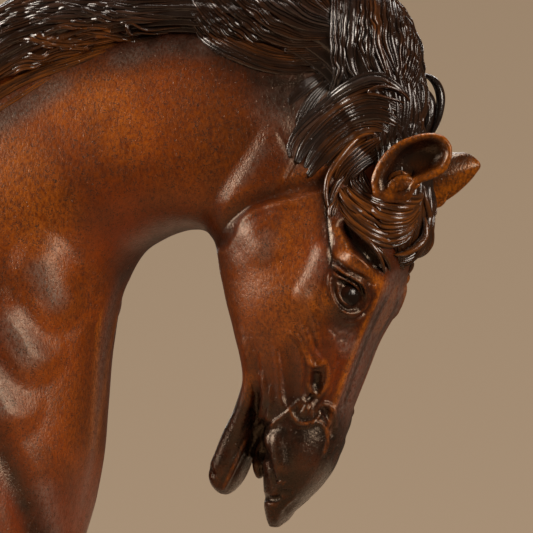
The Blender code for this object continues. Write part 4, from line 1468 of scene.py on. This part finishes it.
@dataclass
class LockMaker:
    """Lays locks of hair on a surface, as tapering bands with the furrows between their strands."""

    tree: BVHTree
    spacing: float = 3.0
    place_eases: int = 3
    normal_eases: int = 4
    strand_steps: tuple[float, ...] = (0.0, 0.09, 0.24, 0.5, 0.76, 0.91)
    strand_crown: tuple[float, ...] = (0.0, 0.60, 0.90, 1.0, 0.90, 0.60)
    furrow: float = 0.75
    sink: float = 0.30
    widen: float = 1.30
    uneven: tuple[float, float] = (0.70, 1.25)
    strand_widths: tuple[float, float] = (0.45, 1.75)
    strand_heights: tuple[float, float] = (0.62, 1.0)
    swells: tuple[float, float] = (0.5, 1.6)
    swell: float = 0.22
    sway: float = 0.07
    sway_turns: tuple[float, float] = (0.5, 1.5)
    stagger: float = 1.4
    tip_sink: float = 3.0
    taper_start: float = 0.06
    taper_span: float = 0.89
    taper_power: float = 0.75
    underside: tuple[float, float, float] = (0.7, 0.0, -0.7)
    underside_drop: float = 0.45
    pattern_starts: tuple[float, float] = (0.0, 0.5)
    rng: np.random.Generator = field(default_factory=lambda: np.random.default_rng(7))

    def laid(self, path: Points) -> tuple[np.ndarray, np.ndarray]:
        """Lays a path of the drawing on the near side's surface.

        Args:
            path: The drawing's points.

        Returns:
            The points in metres and the surface's normals there.
        """
        corners = np.asarray(path, float)
        length = float(np.hypot(*np.diff(corners, axis=0).T).sum())
        steps = max(3, round(length / self.spacing / (len(corners) - 1)))
        sight = DRAWING.sight()
        places, normals = [], []
        for x, y in smooth_rows(path, steps):
            middle = DRAWING.point(x, y)
            hit, normal = self.tree.ray_cast(middle - sight, sight)[:2]
            if hit is None or hit.y > 0:
                hit, normal = self.tree.find_nearest(middle)[:2]
            places.append(hit)
            normals.append(normal)
        return self.eased(np.array(places), self.place_eases), self.eased(np.array(normals), self.normal_eases)

    @staticmethod
    def eased(rows: np.ndarray, times: int) -> np.ndarray:
        """Smooths the jolts out of rows in place, and keeps their ends.

        Args:
            rows: The rows.
            times: How often they are smoothed.

        Returns:
            The same rows.
        """
        for _ in range(times):
            rows[1:-1] = 0.25 * rows[:-2] + 0.5 * rows[1:-1] + 0.25 * rows[2:]
        return rows

    @staticmethod
    def directions(places: np.ndarray, normals: np.ndarray) -> tuple[np.ndarray, np.ndarray]:
        """Finds the directions across a spine and up from it.

        Args:
            places: The spine's points.
            normals: The surface's normals there.

        Returns:
            The directions across and up at each point.
        """
        along = np.gradient(places, axis=0)
        along /= np.linalg.norm(along, axis=1)[:, None]
        across = np.cross(along, normals)
        across /= np.linalg.norm(across, axis=1)[:, None]
        return across, np.cross(across, along)

    def strands_across(self, strands: int, t: np.ndarray) -> tuple[np.ndarray, np.ndarray]:
        """Draws the strands across a lock, uneven in width and height, swelling and swaying along it.

        Args:
            strands: How many strands there are.
            t: How far along the lock each ring is, from 0 to 1.

        Returns:
            How far across each point is, from -1 to 1, and how high up its strand, ring by ring.
        """
        shares = self.rng.uniform(*self.strand_widths, strands)
        edges = np.concatenate([[0.0], np.cumsum(shares) / shares.sum()])
        steps = np.array(self.strand_steps)
        u = np.concatenate([edges[k] + (edges[k + 1] - edges[k]) * steps for k in range(strands)])
        u = np.append(u, 1.0) * 2 - 1
        heights = np.repeat(self.rng.uniform(*self.strand_heights, strands), len(steps))
        crown = np.append(np.tile(self.strand_crown, strands), 0.0)
        phases = np.repeat(self.rng.uniform(0, 2 * math.pi, strands), len(steps))
        waves = np.repeat(self.rng.uniform(*self.swells, strands), len(steps))
        beat = 0.5 + 0.5 * np.sin(2 * math.pi * waves[None, :] * t[:, None] + phases[None, :])
        beat = np.append(beat, np.zeros((len(t), 1)), axis=1)
        shown = np.append(heights, 0.0)[None, :] * (1 - self.swell * beat)
        turns = t * self.rng.uniform(*self.sway_turns) + self.rng.uniform(0, 1)
        sway = self.sway * np.sin(2 * math.pi * turns)
        return u[None, :] + sway[:, None] * (1 - u[None, :] ** 2), crown[None, :] * shown

    def lock(
        self, half_width: float, rise: float, strands: int, lift: float, spine: tuple, side: int
    ) -> bpy.types.Mesh:
        """Makes one lock along a spine.

        Args:
            half_width: Half of the lock's width, in the drawing's units.
            rise: How far it stands up.
            strands: How many strands it shows.
            lift: How far it is lifted off the surface.
            spine: The points and normals that it follows.
            side: 1 for the near side, -1 for the far side.

        Returns:
            The lock's mesh.
        """
        places, normals = (part * np.array([1.0, side, 1.0]) for part in spine)
        across, up = self.directions(places, normals)
        t = np.linspace(0, 1, len(places))
        taper = np.sin(math.pi * (self.taper_start + self.taper_span * t)) ** self.taper_power
        taper[0] = taper[-1] = 0.0
        rise = rise * self.rng.uniform(*self.uneven)
        lift = lift + self.rng.uniform(-self.stagger, self.stagger)
        inner, crown = self.strands_across(strands, t)
        furrow = self.furrow if strands > 1 else 0.0
        dome = np.sqrt(np.clip(1 - inner**2, 0, 1)) * (1 - furrow * (1 - crown)) - self.sink
        below = (len(t), len(self.underside))
        sideways = np.concatenate([inner, np.tile(self.underside, (len(t), 1))], axis=1)
        upward = np.concatenate([dome, np.full(below, -self.sink - self.underside_drop)], axis=1)
        unit = DRAWING.unit
        raised = lift * taper - self.tip_sink * (1 - taper)
        rings = places[:, None, :] + up[:, None, :] * (raised * unit)[:, None, None]
        rings = rings + across[:, None, :] * (sideways * taper[:, None] * half_width * self.widen * unit)[:, :, None]
        rings = rings + up[:, None, :] * (upward * taper[:, None] * rise * unit)[:, :, None]
        lit = crown if strands > 1 else np.clip(dome + self.sink, 0, 1)
        lit = np.concatenate([lit, np.zeros(below)], axis=1)
        return rolled_skin("lock", rings, lit, self.rng.uniform(*self.pattern_starts))

    def both_sides(self, locks: Sequence[tuple]) -> list[bpy.types.Mesh]:
        """Makes a group of locks on the near side and the far side.

        Args:
            locks: Half width, rise, strands, lift and path of each.

        Returns:
            The meshes.
        """
        made = []
        for half_width, rise, strands, lift, path in locks:
            spine = self.laid(path)
            made += [self.lock(half_width, rise, strands, lift, spine, side) for side in (1, -1)]
        return made


@dataclass
class CrestLocks:
    """The locks on the top of the mane, which flow back and down from the crest."""

    rings: np.ndarray
    maker: LockMaker
    count: int = 46
    seed: int = 11
    steps: int = 26
    eases: int = 6
    turning: float = 1.3
    first_ring: float = 0.16
    spread: float = 0.62
    jitter: float = 0.02
    starts: tuple[float, float] = (2.0, 34.0)
    sweeps: tuple[float, float] = (14.0, 34.0)
    lengths: tuple[float, float] = (0.14, 0.20)
    half_widths: tuple[float, float] = (7.0, 10.0)
    rise: float = 4.5
    strands: int = 4

    def spine(self, first: float, last: float, start: float, end: float) -> tuple[np.ndarray, np.ndarray]:
        """A spine over the mane from one ring and angle to another.

        Args:
            first: The first ring, as a share of the mane's length.
            last: The last ring, as a share of the mane's length.
            start: The first angle from the crest, in degrees.
            end: The last angle from the crest, in degrees.

        Returns:
            The points and the surface's normals there.
        """
        count, around = self.rings.shape[:2]
        places, normals = [], []
        for share in np.linspace(0, 1, self.steps):
            ring = (first + (last - first) * share) * (count - 1)
            angle = (start + (end - start) * share**self.turning) / 360 * around
            place = self.rings[int(round(ring)), int(round(angle)) % around]
            hit, normal = self.maker.tree.find_nearest(Vector(place))[:2]
            places.append(hit)
            normals.append(normal)
        return self.maker.eased(np.array(places), self.eases), self.maker.eased(np.array(normals), self.eases)

    def meshes(self) -> list[bpy.types.Mesh]:
        """Makes the locks, turn by turn on either side of the crest.

        Returns:
            The locks' meshes.
        """
        rng = np.random.default_rng(self.seed)
        made = []
        for i in range(self.count):
            side = 1 if i % 2 else -1
            first = self.first_ring + self.spread * i / self.count + rng.uniform(-self.jitter, self.jitter)
            start = side * rng.uniform(*self.starts)
            end = start + side * rng.uniform(*self.sweeps)
            spine = self.spine(first, first - rng.uniform(*self.lengths), start, end)
            made.append(self.maker.lock(rng.uniform(*self.half_widths), self.rise, self.strands, 0.0, spine, 1))
        return made


@dataclass
class Mane:
    """All the hair: the mass of the mane, its locks, the hair beside the cheek, and the forelock."""

    skin: Skin
    loop_steps: int = 6
    loop_rise: float = 7.0
    loop_strands: int = 2
    loop_facing: Triple = (0.6, -0.8, 0.0)

    def build(self, material: bpy.types.Material) -> LockMaker:
        """Builds the pieces and dresses them.

        Args:
            material: The hair's finish.

        Returns:
            What made the locks, for the folds in the ears.
        """
        mass = Loft("mane_mass", MANE_SECTIONS, steps=12, around=360, shrink=4.5, flutes=30, flute_depth=0.022)
        rings = mass.rings()
        crest = mass.mesh()
        forelock = Loft("forelock_mass", FORELOCK_SECTIONS, around=200, shrink=3.5, flutes=24, flute_depth=0.03)
        front = forelock.mesh()
        maker = LockMaker(surface_of([self.skin.forms[0], crest, front]))
        groups = {
            "mane_mass": [crest, front],
            "mane_crest": CrestLocks(rings, maker).meshes(),
            "mane_back": maker.both_sides(MANE_BACK_LOCKS),
            "mane_forward": maker.both_sides(MANE_FORWARD_LOCKS),
            "mane_poll": maker.both_sides(MANE_POLL_LOCKS) + self.far_loops(maker),
            "cheek_hair": maker.both_sides(SIDE_LOCKS),
            "forelock": maker.both_sides(FORELOCK_LOCKS),
        }
        for name, meshes in groups.items():
            mesh = joined(name, meshes)
            Patina(dark=0.70, hollow_gain=2.4, proud_gain=2.4).lay(mesh, (), HAIR_GREY_BLOOM_AND_SHEEN, HAIR_RUBBED)
            set_up(name, mesh, material)
        return maker

    def far_loops(self, maker: LockMaker) -> list[bpy.types.Mesh]:
        """Makes the locks that loop beside the far ear.

        Args:
            maker: What makes the locks.

        Returns:
            The locks' meshes.
        """
        made = []
        for half_width, out, path in FAR_LOOPS:
            places = np.array([DRAWING.point(x, y, out) for x, y in smooth_rows(path, self.loop_steps)])
            spine = (places, np.tile(np.array(Vector(self.loop_facing)), (len(places), 1)))
            made.append(maker.lock(half_width, self.loop_rise, self.loop_strands, 0.0, spine, -1))
        return made


@dataclass
class Ear:
    """One ear: a bowl with a thick rim, hollow towards the horse's side, and the flesh in its root."""

    side: int
    rim: Points = EAR_RIM
    hollow: Points = EAR_HOLLOW
    dark: Sequence = EAR_DARK
    rubbed: Sequence = EAR_RUBBED
    root_out: float = 58.0
    tip_out: float = 48.0
    back_shift: tuple[float, float] = (-17.0, 9.0)
    root_middle: Triple = (393.0, 190.0, 19.0)
    root_size: Triple = (17.0, 15.0, 17.0)
    steps: int = 8
    profile_steps: int = 4
    fold_steps: int = 5
    fold_rise: float = 4.0
    fold_facing: Triple = (0.3, -1.0, 0.1)

    def placed(self, x: float, y: float, depth: float) -> Vector:
        """A point of the ear.

        Args:
            x: The drawing's x.
            y: The drawing's y.
            depth: How far it lies under the rim, towards the head.

        Returns:
            The point in metres.
        """
        xs = [corner[0] for corner in self.rim]
        to_tip = (x - min(xs)) / (max(xs) - min(xs))
        out = self.root_out + (self.tip_out - self.root_out) * to_tip - depth
        return DRAWING.point(x, y, out, self.side)

    def rings(self) -> np.ndarray:
        """Lays the ear's rings, from the hollow's middle over the rim to the back.

        Returns:
            The points, as rings by points by three.
        """
        outer = smooth_rows(self.rim + self.rim[:1], self.steps)[:-1]
        inner = smooth_rows(self.hollow + self.hollow[:1], self.steps)[:-1]
        made = []
        for outward, size, depth in smooth_rows(EAR_PROFILE, self.profile_steps):
            edge = inner + (outer - inner) * outward
            centre = edge.mean(axis=0)
            back = outward * (1 - size)
            ring = centre + (edge - centre) * size + np.array(self.back_shift) * back
            made.append([self.placed(x, y, depth) for x, y in ring])
        return np.array(made)

    def fold(self, maker: LockMaker, half_width: float, depth: float, path: Points) -> bpy.types.Mesh:
        """Makes a fold of flesh in the ear's root.

        Args:
            maker: What lays it, as it does a lock of one strand.
            half_width: Half of its width.
            depth: How far it lies under the rim.
            path: The drawing's points.

        Returns:
            The fold's mesh.
        """
        places = np.array([self.placed(x, y, depth) for x, y in smooth_rows(path, self.fold_steps)])
        spine = (places * [1, self.side, 1], np.tile(self.fold_facing, (len(places), 1)))
        made = maker.lock(half_width, self.fold_rise, 1, 0.0, spine, self.side)
        made.attributes.remove(made.attributes[CROWN])
        return made

    def root(self) -> bpy.types.Mesh:
        """Makes the root that joins the ear to the head.

        Returns:
            The root's mesh.
        """
        shape = bmesh.new()
        bmesh.ops.create_uvsphere(shape, u_segments=40, v_segments=24, radius=1.0)
        bmesh.ops.scale(shape, vec=Vector(self.root_size) * DRAWING.unit, verts=shape.verts)
        bmesh.ops.translate(shape, vec=DRAWING.point(*self.root_middle, self.side), verts=shape.verts)
        return finished("ear_root", shape)

    def build(self, material: bpy.types.Material, maker: LockMaker) -> None:
        """Builds the piece and dresses it.

        Args:
            material: The ear's finish.
            maker: What makes the folds.
        """
        name = "ear_near" if self.side > 0 else "ear_far"
        folds = [self.fold(maker, *fold) for fold in EAR_FOLDS]
        mesh = joined(name, [rolled_skin(name, self.rings()), self.root(), *folds])
        Patina(dark=0.40, hollow_gain=1.8, proud_gain=3.4).lay(mesh, self.dark, (), self.rubbed)
        set_up(name, mesh, material)


@dataclass
class Eyes:
    """The two eyeballs."""

    middle: tuple[float, float] = (346.0, 295.0)
    radius: float = 14.0
    sunk: float = 0.72

    def build(self, material: bpy.types.Material, tree: BVHTree) -> None:
        """Builds the piece and dresses it.

        Args:
            material: The eyes' finish.
            tree: The skin's surface.
        """
        sight = DRAWING.sight()
        floor = tree.ray_cast(DRAWING.point(*self.middle) - sight, sight)[0]
        middle = floor + sight * (self.radius * self.sunk * DRAWING.unit)
        radius = self.radius * DRAWING.unit
        shape = bmesh.new()
        for side in (1, -1):
            ball = bmesh.ops.create_uvsphere(shape, u_segments=48, v_segments=32, radius=radius)
            place = Vector((middle.x, middle.y * side, middle.z))
            bmesh.ops.translate(shape, vec=place, verts=ball["verts"])
        mesh = finished("eyes", shape)
        # The eyeballs are dark all over: dark bronze, with painted shade in their sockets
        Patina(dark=1.0, proud_gain=0.0).lay(mesh)
        set_up("eyes", mesh, material)


@dataclass(frozen=True)
class Lamp:
    """One soft square light aimed at the horse."""

    name: str
    place: Triple
    size: float
    power: float
    colour: Triple

    def build(self, target: Vector) -> None:
        """Sets the light up.

        Args:
            target: What it is aimed at.
        """
        data = bpy.data.lights.new(self.name, "AREA")
        data.size = self.size
        data.energy = self.power
        data.color = self.colour
        lamp = bpy.data.objects.new(self.name, data)
        lamp.location = self.place
        lamp.rotation_euler = (target - Vector(self.place)).to_track_quat("-Z", "Y").to_euler()
        bpy.context.scene.collection.objects.link(lamp)


LAMPS = (
    Lamp("left", (-1.05, -0.42, 0.52), 0.56, 16.5, (1.0, 0.96, 0.91)),
    Lamp("right", (1.05, -0.50, 0.40), 0.50, 9.0, (1.0, 0.97, 0.94)),
    Lamp("top", (0.10, 0.15, 1.00), 0.40, 5.0, (1.0, 0.98, 0.96)),
    Lamp("back", (-0.20, 0.95, 0.45), 0.60, 5.0, (1.0, 0.97, 0.94)),
)


@dataclass
class Studio:
    """The camera, the floor, the backdrop and the lights."""

    target: tuple[float, float] = (266.5, 266.5)
    azimuth: float = math.radians(18.0)
    elevation: float = math.radians(-3.0)
    distance: float = 1.2
    frame: float = 533.0
    film_width: float = 36.0
    clip_start: float = 0.01
    board: float = 0.19
    board_colour: Triple = (0.47, 0.35, 0.245)
    board_roughness: float = 0.95
    room_glow: float = 0.22
    low_colour: Triple = (0.410, 0.293, 0.193)
    high_colour: Triple = (0.315, 0.222, 0.143)
    horizon: tuple[float, float] = (-0.10, 0.16)

    def camera(self) -> None:
        """Places the camera at the photograph's viewing angle."""
        data = bpy.data.cameras.new("camera")
        data.sensor_width = self.film_width
        data.lens = data.sensor_width * self.distance / (self.frame * DRAWING.unit)
        data.clip_start = self.clip_start
        camera = bpy.data.objects.new("camera", data)
        back = Vector(
            (
                math.sin(self.azimuth) * math.cos(self.elevation),
                -math.cos(self.azimuth) * math.cos(self.elevation),
                math.sin(self.elevation),
            )
        )
        camera.location = DRAWING.point(*self.target) + back * self.distance
        camera.rotation_euler = (-back).to_track_quat("-Z", "Y").to_euler()
        bpy.context.scene.collection.objects.link(camera)
        bpy.context.scene.camera = camera

    def floor(self) -> None:
        """A round pale board under the bust."""
        shape = bmesh.new()
        bmesh.ops.create_circle(shape, cap_ends=True, segments=128, radius=self.board)
        mesh = finished("floor", shape)
        paper = bpy.data.materials.new("floor_paint")
        paper.use_nodes = True
        shader = paper.node_tree.nodes["Principled BSDF"]
        shader.inputs["Base Color"].default_value = (*self.board_colour, 1.0)
        shader.inputs["Roughness"].default_value = self.board_roughness
        shader.inputs["Specular IOR Level"].default_value = 0.0
        mesh.materials.append(paper)
        sheet = bpy.data.objects.new("floor", mesh)
        bpy.context.scene.collection.objects.link(sheet)

    def room(self) -> None:
        """A plain beige backdrop that lights the bronze only faintly."""
        world = bpy.data.worlds.new("room")
        world.use_nodes = True
        bench = NodeBench(world.node_tree)
        sky = world.node_tree.nodes["Background"]
        seen = bench.add("ShaderNodeLightPath").outputs["Is Camera Ray"]
        strength = bench.add("ShaderNodeMapRange")
        strength.inputs["To Min"].default_value = self.room_glow
        strength.inputs["To Max"].default_value = 1.0
        bench.feed(strength.inputs["Value"], seen)
        place = bench.add("ShaderNodeSeparateXYZ")
        bench.feed(place.inputs[0], bench.add("ShaderNodeTexCoord").outputs["Generated"])
        upward = bench.ramp(place.outputs["Z"], *self.horizon)
        wall = bench.blend(upward, (*self.low_colour, 1.0), (*self.high_colour, 1.0))
        bench.feed(sky.inputs["Color"], wall)
        bench.feed(sky.inputs["Strength"], strength.outputs["Result"])
        bpy.context.scene.world = world

    def build(self) -> None:
        """Sets up the whole studio."""
        bpy.context.scene.view_settings.view_transform = "Standard"
        self.camera()
        self.floor()
        self.room()
        for lamp in LAMPS:
            lamp.build(DRAWING.point(*self.target))


def corners(box: Iterable[Iterable[float]]) -> list[list[float]]:
    """A box's corners as plain lists of numbers."""
    return [[float(value) for value in corner] for corner in box]


def main() -> None:
    """Builds the dressed bust and its studio."""
    logging.basicConfig(level=logging.INFO)
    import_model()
    patina = PatinaGroup()
    finishes = (SKIN_BRONZE, HAIR_BRONZE, EAR_BRONZE, EYE_BRONZE)
    skin_bronze, hair_bronze, ear_bronze, eye_bronze = (finish.material(patina) for finish in finishes)
    skin = Skin()
    skin.build(skin_bronze)
    maker = Mane(skin).build(hair_bronze)
    Ear(1).build(ear_bronze, maker)
    far_root = (392.0, 190.0, 22.0)
    far_ear = Ear(-1, FAR_EAR_RIM, FAR_EAR_HOLLOW, FAR_EAR_DARK, FAR_EAR_RUBBED, tip_out=66.0, root_middle=far_root)
    far_ear.build(ear_bronze, maker)
    Eyes().build(eye_bronze, surface_of([bpy.data.objects["neck_and_head"].data]))
    Studio().build()


if __name__ == "__main__":
    main()
